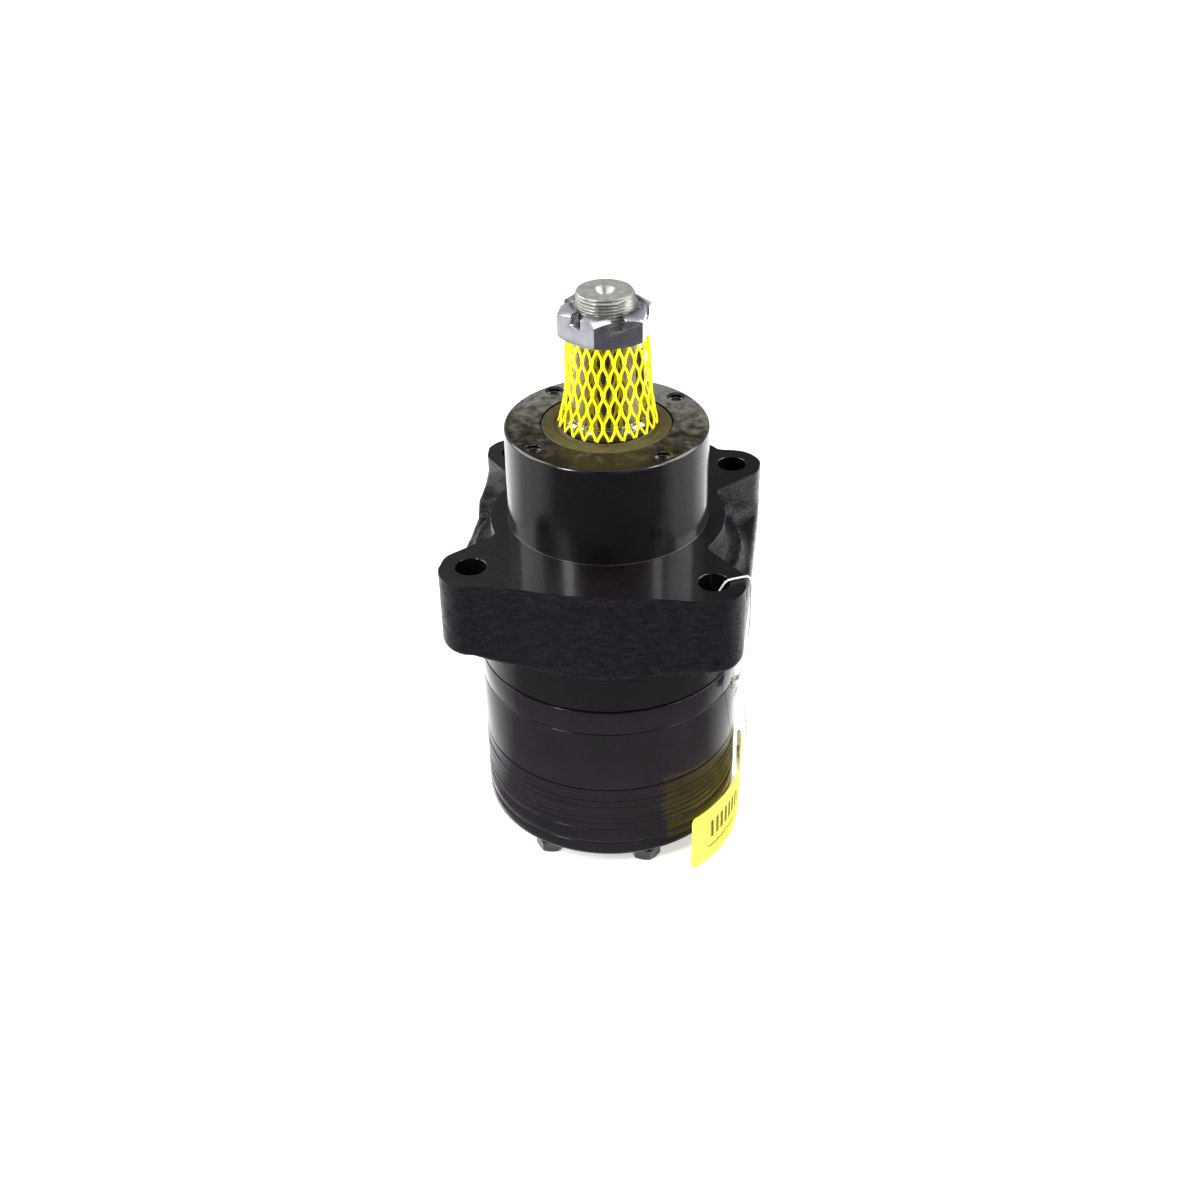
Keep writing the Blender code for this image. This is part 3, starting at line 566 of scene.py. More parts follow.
def ground_steel():
    """Ground shaft steel: bright, with faint lines round the axis and a little staining."""
    n = Nodes("ground_steel")
    n.set(Metallic=1.0)
    n.colour(n.mottled(110, 4, (0.30, 0.30, 0.30), (0.46, 0.46, 0.45)))
    lines = n.noise(30, 3, 0.5, n.stretched((1.0, 1.0, 130.0)))
    n.roughness(n.grey(lines, [(0.3, 0.08), (0.7, 0.17)]))
    n.bump((lines, 0.04, 0.00004))
    return n.mat


def thread_steel():
    """Rolled thread: duller steel, finely scored."""
    n = Nodes("thread_steel")
    n.set(Metallic=1.0)
    n.colour(n.mottled(240, 5, (0.27, 0.265, 0.25), (0.50, 0.495, 0.47)))
    n.roughness(n.mottled(500, 4, 0.34, 0.52))
    n.bump((n.waves(n.radius(), 0.00035), 0.12, 0.00003), (n.noise(900, 4), 0.15, 0.0002))
    return n.mat


def turned_end():
    """Lathe-turned end face: pale, rough, ringed."""
    n = Nodes("turned_end_steel")
    n.set(Metallic=1.0)
    n.colour(n.mottled(300, 5, (0.44, 0.435, 0.405), (0.66, 0.655, 0.62)))
    n.roughness(n.mottled(500, 4, 0.52, 0.64))
    n.bump((n.waves(n.radius(), 0.0006), 0.15, 0.00004), (n.noise(900, 4), 0.12, 0.0002))
    return n.mat


def zinc_plate():
    """Bright zinc over a forged nut: soft crystals and a blue-white cast."""
    n = Nodes("bright_zinc")
    n.set(Metallic=1.0)
    n.colour(n.mottled(170, 4, (0.66, 0.69, 0.74), (0.84, 0.86, 0.90)))
    n.roughness(n.mottled(380, 5, 0.15, 0.27))
    n.bump((n.noise(240, 4), 0.08, 0.0003), (n.noise(1400, 3), 0.10, 0.0001))
    return n.mat


def net_plastic():
    """Yellow extruded netting: glossy, a little see-through, drawn along the strands."""
    n = Nodes("yellow_net_plastic")
    n.set(Metallic=0.0, IOR=1.4, Subsurface_Weight=0.10, Subsurface_Scale=0.0012)
    n.set(Subsurface_Radius=(1.0, 0.7, 0.1))
    n.colour(n.mottled(140, 3, (1.0, 0.84, 0.0), (1.0, 0.93, 0.001)))
    # The netting glows faintly in its own yellow: painted light that keeps the strands bright.
    n.set(Emission_Color=(1.0, 0.86, 0.0, 1.0), Emission_Strength=0.30)
    n.roughness(n.mottled(600, 3, 0.30, 0.46))
    n.bump((n.noise(500, 4, 0.5, n.stretched((1.0, 1.0, 0.3))), 0.2, 0.0003))
    return n.mat


def rubber(name, colour=(0.012, 0.012, 0.012)):
    """Moulded rubber or plastic with faint rings round the axis."""
    n = Nodes(name)
    n.set(Metallic=0.0, IOR=1.5)
    n.colour(n.mottled(300, 4, colour, tuple(min(1.0, c * 1.7) for c in colour)))
    n.roughness(n.mottled(700, 4, 0.42, 0.62))
    n.bump((n.waves(n.radius(), 0.0006), 0.06, 0.00005), (n.noise(900, 4), 0.2, 0.0002))
    return n.mat


def bearing_steel(name, colour=(0.55, 0.55, 0.55)):
    """Polished metal, lapped in no direction."""
    n = Nodes(name)
    n.set(Metallic=1.0)
    n.colour(n.mottled(200, 3, tuple(c * 0.8 for c in colour), colour))
    n.roughness(n.mottled(500, 3, 0.12, 0.25))
    n.bump((n.noise(700, 3), 0.1, 0.0001))
    return n.mat


def cotton():
    """White twisted string."""
    n = Nodes("white_cotton")
    n.set(Metallic=0.0, Sheen_Weight=0.3)
    n.colour(n.mottled(900, 3, (0.84, 0.84, 0.80), (0.96, 0.96, 0.94)))
    n.roughness(n.mottled(1500, 3, 0.75, 0.92))
    n.bump((n.noise(2600, 4, 0.6, n.stretched((1.0, 1.0, 0.4))), 0.6, 0.0003))
    return n.mat


def tag_plastic():
    """Yellow flexible tag with a plain printed block of dark bars, laid out along its own length."""
    n = Nodes("yellow_tag_plastic")
    # The emission here is painted light: the tag glows faintly in its own colours.
    n.set(Metallic=0.0, IOR=1.46, Subsurface_Weight=0.12, Subsurface_Scale=0.001,
          Subsurface_Radius=(1.0, 0.8, 0.2), Emission_Strength=0.12)
    along, up, _ = n.axes(n.node("ShaderNodeUVMap", uv_map="print").outputs["UV"])

    def between(value, first, last):
        return n.math('MULTIPLY', n.math('GREATER_THAN', value, first), n.math('LESS_THAN', value, last))

    def stripes(rate, threshold):
        return n.math('GREATER_THAN', n.math('SINE', n.math('MULTIPLY', along, rate)), threshold)

    fine = stripes(391.0, -0.86)
    bars = n.math('MULTIPLY', stripes(125.0, -0.45), fine)
    block = n.math('MULTIPLY', between(along, 0.13, 0.52), between(up, 0.42, 0.74))
    rule = n.math('MULTIPLY', between(along, 0.13, 0.44), between(up, 0.24, 0.28))
    ink = n.math('MAXIMUM', n.math('MULTIPLY', bars, block), n.math('MULTIPLY', rule, fine))
    yellow = n.mottled(60, 3, (0.93, 0.76, 0.08), (0.97, 0.85, 0.12))
    mix = n.node("ShaderNodeMix", data_type='RGBA')
    n.link(ink, mix.inputs["Factor"])
    n.link(yellow, mix.inputs[6])
    mix.inputs[7].default_value = (0.035, 0.032, 0.02, 1.0)
    n.colour(mix.outputs[2])
    # The printed colours also feed the glow: painted light that lifts the yellow and leaves the bars dark.
    n.link(mix.outputs[2], n.shader.inputs["Emission Color"])
    n.roughness(n.mottled(300, 4, 0.28, 0.42))
    n.bump((n.noise(120, 3), 0.12, 0.0008), (n.noise(1400, 3), 0.1, 0.0001))
    return n.mat


# ---- camera, light and floor --------------------------------------------------------------------
def camera():
    """Long view from above the front, turned a little to the right."""
    data = bpy.data.cameras.new("camera")
    data.sensor_width = 36.0
    data.lens = 46.774
    data.clip_start = 0.01
    cam = bpy.data.objects.new("camera", data)
    bpy.context.scene.collection.objects.link(cam)
    bpy.context.scene.camera = cam
    dip, roll, turn = 0.587, -0.018, 0.151
    ahead = Vector((0.0, cos(dip), -sin(dip)))
    side = Vector((1.0, 0.0, 0.0))
    over = Vector((0.0, sin(dip), cos(dip)))
    side_rolled = side * cos(roll) + over * sin(roll)
    over_rolled = over * cos(roll) - side * sin(roll)
    basis = Matrix((side_rolled, over_rolled, -ahead)).transposed()
    basis = Matrix.Rotation(turn, 3, 'Z') @ basis
    place = Vector((0.0874, -0.6028, FLANGE_Z + 0.3577))
    cam.matrix_world = Matrix.Translation(place) @ basis.to_4x4()


def softbox(name, place, size, power):
    """White rectangular lamp turned to the middle of the motor."""
    data = bpy.data.lights.new(name, 'AREA')
    data.shape = 'RECTANGLE'
    data.size, data.size_y = size
    data.energy = power
    light = bpy.data.objects.new(name, data)
    bpy.context.scene.collection.objects.link(light)
    light.location = place
    aim = Vector((0.0, 0.0, 0.12)) - Vector(place)
    light.rotation_euler = aim.to_track_quat('-Z', 'Y').to_euler()


def world_light():
    """Studio room: bright to the left, right and at the horizon, dim straight behind and overhead."""
    world = bpy.data.worlds.new("studio")
    bpy.context.scene.world = world
    n = Nodes("studio", world, "Background")
    x, y, z = n.axes(n.coords("Generated"))
    sideways = n.grey(n.math('ABSOLUTE', x), [(0.12, 0.11), (0.40, 0.75), (0.80, 1.0)])
    horizon = n.math('MULTIPLY', n.grey(z, [(0.10, 1.0), (0.26, 0.0)]),
                     n.grey(n.math('ADD', y, 0.5), [(0.10, 0.06), (0.45, 1.0)]))
    n.link(n.math('MAXIMUM', sideways, horizon), n.shader.inputs["Color"])
    n.set(Strength=WORLD_STRENGTH)


def floor():
    """Pale floor, faintly lit from within as a light table is, so that it stays white to its edge."""
    bm = bmesh.new()
    bmesh.ops.create_grid(bm, x_segments=8, y_segments=8, size=9.0)
    n = Nodes("pale_floor")
    n.set(Roughness=0.7, Specular_IOR_Level=0.2, Emission_Color=(1.0, 1.0, 1.0, 1.0),
          Emission_Strength=FLOOR_GLOW)
    n.colour(n.mottled(2.0, 2, (0.88, 0.88, 0.88), (0.90, 0.90, 0.90)))
    from_bmesh("floor", bm, n.mat)


CARD_MIDDLE, CARD_HALF = radians(8), radians(132)   # turned to the right of straight ahead
CARD_INNER, CARD_OUTER = 0.066, 5.0
CARD_HEIGHT = 0.8 * MM


def flag():
    """Dark card on the floor round the front, seen only in glossy reflections; it thins out at its ends."""
    bm = bmesh.new()
    steps, bands = 72, 12
    rows = []
    for i in range(steps + 1):
        a = CARD_MIDDLE - pi / 2 + CARD_HALF * (2 * i / steps - 1)
        reach = [CARD_INNER + (CARD_OUTER - CARD_INNER) * (j / bands) ** 3 for j in range(bands + 1)]
        rows.append([bm.verts.new((*at_angle(r, a), CARD_HEIGHT)) for r in reach])
    for here, there in zip(rows, rows[1:]):
        for j in range(bands):
            bm.faces.new((here[j], there[j], there[j + 1], here[j + 1]))
    n = Nodes("black_card")
    n.set(Roughness=0.9)
    x, y, _ = n.axes()
    turn = n.math('ARCTAN2', x, n.math('MULTIPLY', y, -1.0))
    off = n.math('DIVIDE', n.math('ABSOLUTE', n.math('SUBTRACT', turn, CARD_MIDDLE)), CARD_HALF)
    far_out = n.grey(n.radius(), [(0.25, 0.0), (0.30, 1.0)])
    ends = n.grey(n.math('SUBTRACT', off, n.math('MULTIPLY', far_out, 0.20)), [(0.58, 1.0), (0.94, 0.0)])
    beside = n.grey(off, [(0.36, 0.0), (0.50, 1.0), (0.80, 1.0), (0.92, 0.0)])
    ring = n.grey(n.radius(), [(0.282, 0.0), (0.292, 1.0), (0.318, 1.0), (0.340, 0.0)])
    window = n.math('MULTIPLY', n.math('MULTIPLY', beside, ring), 0.55)
    outer = n.math('MULTIPLY', n.grey(n.radius(), [(0.365, 0.0), (0.385, 1.0)]),
                   n.grey(off, [(0.42, 0.0), (0.56, 0.30)]))
    alpha = n.math('MAXIMUM', n.math('SUBTRACT', ends, n.math('MAXIMUM', window, outer)), 0.0)
    n.colour(n.ramp(n.radius(), [(0.24, (0.115, 0.105, 0.120)), (0.30, (0.038, 0.034, 0.040))]))
    n.link(alpha, n.shader.inputs["Alpha"])
    obj = from_bmesh("black_card", bm, n.mat)
    obj.visible_camera = obj.visible_diffuse = obj.visible_shadow = obj.visible_transmission = False


def studio():
    camera()
    world_light()
    softbox("left_softbox", (-1.25, 0.15, 0.95), (0.9, 1.2), 16)
    softbox("right_softbox", (1.30, 0.35, 0.95), (0.9, 1.2), 20)
    softbox("front_left_lamp", (-0.67, -0.78, 0.98), (0.22, 0.50), 10)
    softbox("front_right_lamp", (0.94, -0.36, 0.98), (0.20, 0.50), 5)
    softbox("overhead", (0.0, -0.1, 1.7), (1.1, 1.0), 4.5)
    floor()
    flag()
    bpy.context.scene.view_settings.view_transform = 'Standard'
    bpy.context.scene.view_settings.exposure = 0.0


# ---- housing ------------------------------------------------------------------------------------
CELL = 0.9 * MM
CAST_TOP = FLANGE_Z + 2.0 * MM       # the casting runs past the flange face and is faced off
FOOT_SAG = 6.8 * MM
SKIN_IN = 0.32 * MM                  # keeps the highest lump of the rough skin inside the block's outline


def ear_flank(x, y, centre_y):
    """Distance outside an ear's round side and the straight flank that runs from it to the ring."""
    slope = radians(42.0)
    dx, dy = x - BOLT_SQUARE, (y - centre_y) * math.copysign(1.0, centre_y)
    across = dx * cos(slope) - dy * sin(slope)
    along = -dx * sin(slope) - dy * cos(slope)
    return np.where(along > 0, across, np.hypot(dx, dy)) - EAR_R


def ledge_height(x, y):
    """Floor of the side pockets: it climbs a little towards the front, with a boss at the left rear."""
    base = LEDGE_Z + 0.0045 * np.clip((-y - 0.012) / 0.022, 0.0, 1.0)
    boss = np.clip((y - 0.022) / 0.006, 0.0, 1.0) * (x < 0)
    return base + (0.0075 * boss * boss * (3 - 2 * boss))


def casting_field(x, y, z):
    """Distance to the casting's skin, negative inside."""
    side = np.abs(x)
    swell = (FACE_Y - FRONT_Y) * np.clip(1 - (x / SWELL_HALF) ** 2, 0.0, 1.0)
    rise = FACE_Y - BLOCK_X
    pad = rise * np.clip((PORT_PAD_HALF + rise - side) / rise, 0.0, 1.0)
    off_x = side - BOLT_SQUARE
    off_y = np.where(y < 0, -y - swell - (FRONT_Y - EAR_R), y - pad - BOLT_SQUARE)
    outline = (np.hypot(np.maximum(off_x, 0.0), np.maximum(off_y, 0.0))
               + np.minimum(np.maximum(off_x, off_y), 0.0) - EAR_R + SKIN_IN)
    edge = 0.0045
    sag = FOOT_SAG * np.clip(1 - (x / 0.050) ** 2, 0.0, 1.0) * np.clip(-y / 0.040, 0.0, 1.0)
    below = BLOCK_BASE - sag - z
    qx, qz = outline + edge, below + edge
    block = np.hypot(np.maximum(qx, 0.0), np.maximum(qz, 0.0)) + np.minimum(np.maximum(qx, qz), 0.0) - edge
    block = np.maximum(block, z - CAST_TOP)
    pocket = smooth_max(RING_R - np.hypot(x, y), -ear_flank(side, y, BOLT_SQUARE), 0.003)
    pocket = smooth_max(pocket, -ear_flank(side, y, -BOLT_SQUARE), 0.003)
    pocket = np.maximum(pocket, np.maximum(0.030 - side, np.abs(y) - BOLT_SQUARE))
    pocket = smooth_max(pocket, ledge_height(x, y) - z, 0.007)
    block = smooth_max(block, -pocket, 0.0022)
    barrel = np.maximum(np.hypot(x, y) - BODY_R, z - (FLANGE_Z - 0.015))
    skin = smooth_min(block, barrel, 0.0058)
    lumps = value_noise(x, y, z * 1.6, 0.0062) + 0.6 * value_noise(x, y, z * 1.3, 0.0029)
    cast = np.clip((z - (BLOCK_BASE - 0.014)) / 0.006, 0.0, 1.0)
    return skin + (0.00004 + 0.00022 * cast) * (lumps - 0.8)


def casting():
    """As-cast outside of the housing, from its distance field."""
    margin = 3 * CELL
    spans = (-BLOCK_X, BLOCK_X), (-FACE_Y, FACE_Y), (HOUSING_END, CAST_TOP)
    axes = [np.arange(first - margin, last + margin, CELL) for first, last in spans]
    grid = np.meshgrid(*axes, indexing='ij')
    field = np.maximum(casting_field(*grid), HOUSING_END - 0.0015 - grid[2])
    verts, quads = surface_nets(field, CELL, [a[0] for a in axes])
    inner = (verts[:, 2] > HOUSING_END + 0.002) & (verts[:, 2] < CAST_TOP - 0.002)
    tiny = 0.05 * MM
    for _ in range(3):
        p = verts[inner].T
        value = casting_field(*p)
        slope = np.stack([(casting_field(*(p + step[:, None])) - value) / tiny for step in tiny * np.eye(3)])
        verts[inner] -= (value * slope / np.maximum((slope ** 2).sum(axis=0), 0.2)).T
    return verts, quads


def thread_teeth(radius, depth, pitch, start, end):
    """Zigzag outline of a tapped or turned thread, as (r, z) points from start to end."""
    points = []
    count = int(abs(end - start) / pitch)
    way = 1 if end > start else -1
    for i in range(count):
        z = start + way * i * pitch
        points += [(radius, z), (radius + depth, z + way * pitch * 0.5)]
    points.append((radius, end))
    return points


def bolt_holes():
    """Tools for the four mounting holes, each with a small chamfer at the flange face."""
    lip = 0.2 * MM
    profile = [(0.0, BLOCK_BASE - 0.01), (BOLT_HOLE_R, BLOCK_BASE - 0.01), (BOLT_HOLE_R, FLANGE_Z - lip),
               (BOLT_HOLE_R + lip, FLANGE_Z), (BOLT_HOLE_R + lip, FLANGE_Z + 0.01), (0.0, FLANGE_Z + 0.01)]
    return [placed(turned_bmesh(profile, 64), shift(sx * BOLT_SQUARE, sy * BOLT_SQUARE))
            for sx in (1, -1) for sy in (1, -1)]


def tapped_holes():
    """Tools for the four threaded holes in the hub's face."""
    radius, mouth = 3.4 * MM, 4.3 * MM
    teeth = thread_teeth(radius, 0.00055, 0.0010, HUB_TOP - 0.0165, HUB_TOP - 0.0006)
    profile = ([(0.0, HUB_TOP - 0.019), (radius, HUB_TOP - 0.0175)] + teeth
               + [(mouth, HUB_TOP), (mouth, HUB_TOP + 2 * OVER), (0.0, HUB_TOP + 2 * OVER)])
    return [placed(turned_bmesh(profile, 40), shift(*at_angle(TAPPED_CIRCLE, angle)))
            for angle in around(4, pi / 4)]


def cover_bolt_holes():
    """Tools for the cover bolts' blind holes in the rear of the housing."""
    profile = [(0.0, HOUSING_END - 2 * OVER), (COVER_BOLT_HOLE, HOUSING_END - 2 * OVER),
               (COVER_BOLT_HOLE, HOUSING_END + 0.022), (0.0, HOUSING_END + 0.0245)]
    return [placed(turned_bmesh(profile, 32), shift(*at_angle(COVER_BOLT_CIRCLE, angle)))
            for angle in around(COVER_BOLTS, pi / 2)]


def port_tools():
    """Threaded ports from the rear, each with a chamfer and a round spot face."""
    spot_r, spot_y = 16.8 * MM, FACE_Y - 1.0 * MM
    teeth = thread_teeth(0.0102, 0.0009, 0.0018, 0.0509, FACE_Y - 0.0042)
    profile = ([(0.0, 0.020), (0.0045, 0.020), (0.0045, 0.0499)] + teeth
               + [(0.0125, spot_y), (spot_r, spot_y), (spot_r + 0.0002, FACE_Y + 0.003),
                  (0.0, FACE_Y + 0.003)])
    level = Matrix.Rotation(-pi / 2, 4, 'X')
    return [placed(turned_bmesh(profile, 72), Matrix.Translation((sx * PORT_X, 0.0, PORT_Z)) @ level)
            for sx in (1, -1)]


def slab(base, top):
    """Wide flat tool that faces off whatever lies between two heights."""
    far = 0.2
    return prism_bmesh([[(-far, -far), (far, -far), (far, far), (-far, far)]], base, top)


def seal_groove(start, end, outer=GROOVE_OUT, segments=96):
    """Tool for a body seal's groove."""
    return turned_bmesh([(GROOVE_IN, start), (outer, start), (outer, end), (GROOVE_IN, end)], segments)


CAST, FACED, SMOOTH, HUB_FACE = range(4)
CAST_FOOT_ROW = round((BLOCK_BASE - 0.009 - HOUSING_END) / CELL)
CAST_FOOT = HOUSING_END + (CAST_FOOT_ROW + 0.5) * CELL      # halfway between two rows of the skin's faces


def housing_finish(face):
    """Which paint a face of the housing takes."""
    c, upward = face.center, face.normal.z > 0.9
    r = math.hypot(c.x, c.y)
    if upward and abs(c.z - FLANGE_Z) < 0.0004:
        return FACED
    if upward and abs(c.z - HUB_TOP) < 0.0004:
        return HUB_FACE
    on_hub = c.z > FLANGE_Z - 0.001 and r < HUB_R + 0.003
    on_rear = c.z < CAST_FOOT and r > BODY_R - 0.002
    in_hole = math.hypot(abs(c.x) - BOLT_SQUARE, abs(c.y) - BOLT_SQUARE) < BOLT_HOLE_R + 0.001
    return SMOOTH if on_hub or on_rear or in_hole or r < BORE_R + 0.0003 else CAST


def housing():
    """Cast body with its machined faces, bores, tapped holes and ports."""
    verts, quads = casting()
    paints = (cast_paint(), faced_paint(),
              smooth_paint("turned_black_paint", turned_spacing=0.0006, tone=0.45), hub_paint())
    body = from_arrays("housing_casting", verts, quads, paints[CAST], sharp=50)
    cut(body, slab(FLANGE_Z, FLANGE_Z + 0.05))
    cut(body, slab(HOUSING_END - 0.05, HOUSING_END))
    foot = 0.3 * MM
    hub = rounded([(0.0, FLANGE_Z - 0.004), (HUB_R + foot, FLANGE_Z - 0.004), (HUB_R + foot, FLANGE_Z),
                   (HUB_R + 0.0002, FLANGE_Z + 0.00025), (HUB_R, FLANGE_Z + foot), (HUB_R, HUB_TOP - 0.0009),
                   (HUB_R - 0.0009, HUB_TOP), (0.0, HUB_TOP)], 0.00035)
    cut(body, turned_bmesh(hub, 192), 'UNION')
    bore = [(0.0, HOUSING_END - 2 * OVER), (BORE_R, HOUSING_END - 2 * OVER), (BORE_R, FLANGE_Z - 0.022),
            (0.0300, FLANGE_Z - 0.022), (0.0300, FLANGE_Z - 0.0085), (0.0240, FLANGE_Z - 0.0085),
            (0.0240, FLANGE_Z + 0.0265), (0.0272, FLANGE_Z + 0.0265), (0.0272, FLANGE_Z + 0.0380),
            (SEAL_R + 0.0003, FLANGE_Z + 0.0380), (SEAL_R + 0.0003, HUB_TOP - 0.0003),
            (SEAL_R + 0.0008, HUB_TOP + 2 * OVER), (0.0, HUB_TOP + 2 * OVER)]
    cut(body, turned_bmesh(bore, 128))
    cut(body, joined(bolt_holes() + tapped_holes() + cover_bolt_holes()))
    groove = seal_groove(HOUSING_END - OVER, HOUSING_END + GROOVE_DEPTH, 0.0593, 128)
    undercut = turned_bmesh([(BODY_R - 0.0010, HOUSING_END - OVER), (BODY_R + 0.002, HOUSING_END - OVER),
                             (BODY_R + 0.002, HOUSING_END + 0.0012), (BODY_R - 0.0002, HOUSING_END + 0.0011),
                             (BODY_R - 0.0010, HOUSING_END + 0.0007)], 192)
    cut(body, joined([groove, undercut]))
    cut(body, joined(port_tools()), sharp=38)
    mesh = body.data
    mesh.materials.clear()
    for paint in paints:
        mesh.materials.append(paint)
    for face in mesh.polygons:
        face.material_index = housing_finish(face)
    finish_piece(body, HOUSING_BODY, "black_paint", "housing")


# ---- the stack under the housing ----------------------------------------------------------------
def plate_between(name, node, profile, bore_loop, paint, rough):
    """Round plate of the stack with its bore and the cover bolts' holes, from an (r, z) rim outline."""
    base, top = heights(node)
    plate = turned(name, [(0.0, base)] + profile + [(0.0, top)], smooth_paint(paint, rough), 192)
    loops = [bore_loop] + [circle(COVER_BOLT_HOLE, 32, at_angle(COVER_BOLT_CIRCLE, angle))
                           for angle in around(COVER_BOLTS, pi / 2)]
    cut(plate, joined([prism_bmesh([loop], base - OVER, top + OVER) for loop in loops]))
    finish_piece(plate, HOUSING_BODY, "black_paint", node)
    return plate


def rim_profile(node, edge, crest=0.0002, steps=3):
    """Straight rim: its lower edge rounded off, its upper edge nearly sharp."""
    base, top = heights(node)
    turns = [i * pi / 2 / steps for i in range(steps + 1)]
    lower = [(BODY_R - edge + edge * sin(a), base + edge - edge * cos(a)) for a in turns]
    upper = [(BODY_R - crest + crest * sin(a), top - crest + crest * cos(a)) for a in reversed(turns)]
    return lower + upper


def wear_plate():
    plate = plate_between("wear_plate_ring", "wear_plate", rim_profile("wear_plate", 0.0005),
                          circle(0.020, 64), "wear_plate_paint", (0.10, 0.20))
    base = low("wear_plate")[2]
    cut(plate, seal_groove(base - OVER, base + GROOVE_DEPTH))


POCKET_STEPS, WALL_STEPS = 16, 7


def stator():
    """Ring with half-round pockets for the rollers."""
    wall, pocket, pitch_r = 0.0397, 0.0078, 0.0395
    points = []
    for k in range(COVER_BOLTS):
        mid = pi / 2 + pi / COVER_BOLTS + 2 * pi * k / COVER_BOLTS
        centre = at_angle(pitch_r, mid)
        for i in range(POCKET_STEPS + 1):
            turn = mid - pi / 2 + pi * i / POCKET_STEPS
            points.append((centre[0] + pocket * cos(turn), centre[1] + pocket * sin(turn)))
        half = pocket / wall
        gap = 2 * pi / COVER_BOLTS - 2 * half
        points += [at_angle(wall, mid + half + gap * i / WALL_STEPS) for i in range(1, WALL_STEPS)]
    plate_between("stator", "stator_ring", rim_profile("stator_ring", 0.0007), points,
                  "stator_paint", (0.14, 0.22))


def manifold():
    """Brazed stack of plates: their edges show as fine lines, each plate a hair in or out."""
    base, top = heights("manifold")
    plates, line = 7, 0.00020
    rng = np.random.default_rng(11)
    thick = (top - base) / plates
    profile = []
    for k in range(plates):
        r = BODY_R - 0.00002 - rng.random() * 0.00016
        z0, z1 = base + k * thick, base + (k + 1) * thick
        profile += [(r - 0.00034, z0), (r - 0.00008, z0 + line * 0.6), (r, z0 + line * 1.5),
                    (r, z1 - 0.00004), (r - 0.00034, z1)]
    clean = profile[:1] + [b for a, b in zip(profile, profile[1:]) if abs(a[1] - b[1]) > 1e-7]
    piece = plate_between("manifold_plates", "manifold", clean, circle(0.0135, 48),
                          "manifold_paint", (0.16, 0.26))
    cut(piece, seal_groove(base - OVER, base + GROOVE_DEPTH))


def commutator_ring():
    plate_between("commutator_housing", "commutator_ring", rim_profile("commutator_ring", 0.0008),
                  circle(0.033, 96), "commutator_ring_paint", (0.14, 0.24))


def end_cover():
    base, top = heights("end_cover")
    cham = 0.0018
    outline = rounded([(0.0, base), (BODY_R - cham, base), (BODY_R, base + cham), (BODY_R, top - 0.0002),
                       (BODY_R - 0.0002, top), (0.0, top)], 0.0006)
    cover = turned("rear_cover", outline, smooth_paint("cover_paint", (0.16, 0.28)), 192)
    drill = [(0.0, base - OVER), (COVER_BOLT_HOLE + 0.0003, base - OVER), (COVER_BOLT_HOLE, base + 0.0004),
             (COVER_BOLT_HOLE, top + OVER), (0.0, top + OVER)]
    tools = [placed(turned_bmesh(drill, 32), shift(*at_angle(COVER_BOLT_CIRCLE, angle)))
             for angle in around(COVER_BOLTS, pi / 2)]
    cut(cover, joined(tools + [seal_groove(top - GROOVE_DEPTH, top + OVER)]))
    finish_piece(cover, HOUSING_BODY, "black_paint", "end_cover")


LEVELS_PER_PITCH = 8


def helix_bolt(radius, depth, pitch, base, top, per_turn=24):
    """Closed threaded rod: a tube whose radius follows a helical sawtooth, faded out at both ends."""
    levels = int((top - base) / pitch * LEVELS_PER_PITCH)
    bm = bmesh.new()
    rings = []
    for i in range(levels + 1):
        z = base + (top - base) * i / levels
        ring = []
        for a in around(per_turn):
            phase = ((z - base) / pitch - a / (2 * pi)) % 1.0
            tooth = min(1.0, max(0.0, (0.90 - abs(2 * phase - 1)) / 0.78))
            fade = min(1.0, (z - base) / pitch, (top - z) / pitch)
            r = radius - depth * (1 - tooth * fade)
            ring.append(bm.verts.new((*at_angle(r, a), z)))
        rings.append(ring)
    bridge(bm, rings)
    return bm


def cover_bolts():
    """Black hexagon screws: washer face, chamfered head, plain shank and a threaded end."""
    flats = 12.7 * MM
    corner = flats / 2 / cos(pi / 6)
    top = COVER_BASE - 0.0003
    mat = smooth_paint("bolt_paint", (0.22, 0.38))
    for k, angle in enumerate(around(COVER_BOLTS, pi / 2)):
        node = "cover_bolt_%d" % (k + 1)
        head = prism_bmesh([circle(corner, 6, first=angle)], 0.0, top - 0.0004)
        bolt = from_bmesh("stack_bolt_%d" % (k + 1), head, mat)
        envelope = [(0.0, -OVER), (flats / 2 - 0.0006, -OVER), (flats / 2 - 0.0004, 0.0),
                    (corner + 0.0002, 0.0010), (corner + 0.0002, top + OVER), (0.0, top + OVER)]
        cut(bolt, turned_bmesh(envelope, 72), 'INTERSECT')
        shank_top = high(node)[2]
        shank = [(0.0, top - 0.002), (flats / 2 - 0.0002, top - 0.0006), (flats / 2 - 0.0002, top),
                 (0.0039, top), (0.0039, shank_top - 0.022), (0.0, shank_top - 0.022)]
        cut(bolt, turned_bmesh(shank, 48), 'UNION')
        cut(bolt, helix_bolt(0.00395, 0.0007, 0.00141, shank_top - 0.0235, shank_top), 'UNION')
        bolt.data.transform(shift(*at_angle(COVER_BOLT_CIRCLE, angle)))
        finish_piece(bolt, HOUSING_BODY, "black_paint", node)


# ---- shaft, nut, key and sleeve -----------------------------------------------------------------
def taper_radius(z):
    return TAPER_R - (z - TAPER_START) * TAPER_RATE


def spline_loop(tip, root, share, teeth=12):
    """Outline of an internal spline: its teeth reach in to the tip radius."""
    pitch = 2 * pi / teeth
    points = []
    for mid in around(teeth):
        for radius, angle in ((root, mid - pitch * 0.29), (tip, mid - pitch * share / 2),
                              (tip, mid + pitch * share / 2), (root, mid + pitch * 0.29)):
            points.append(at_angle(radius, angle))
    return points


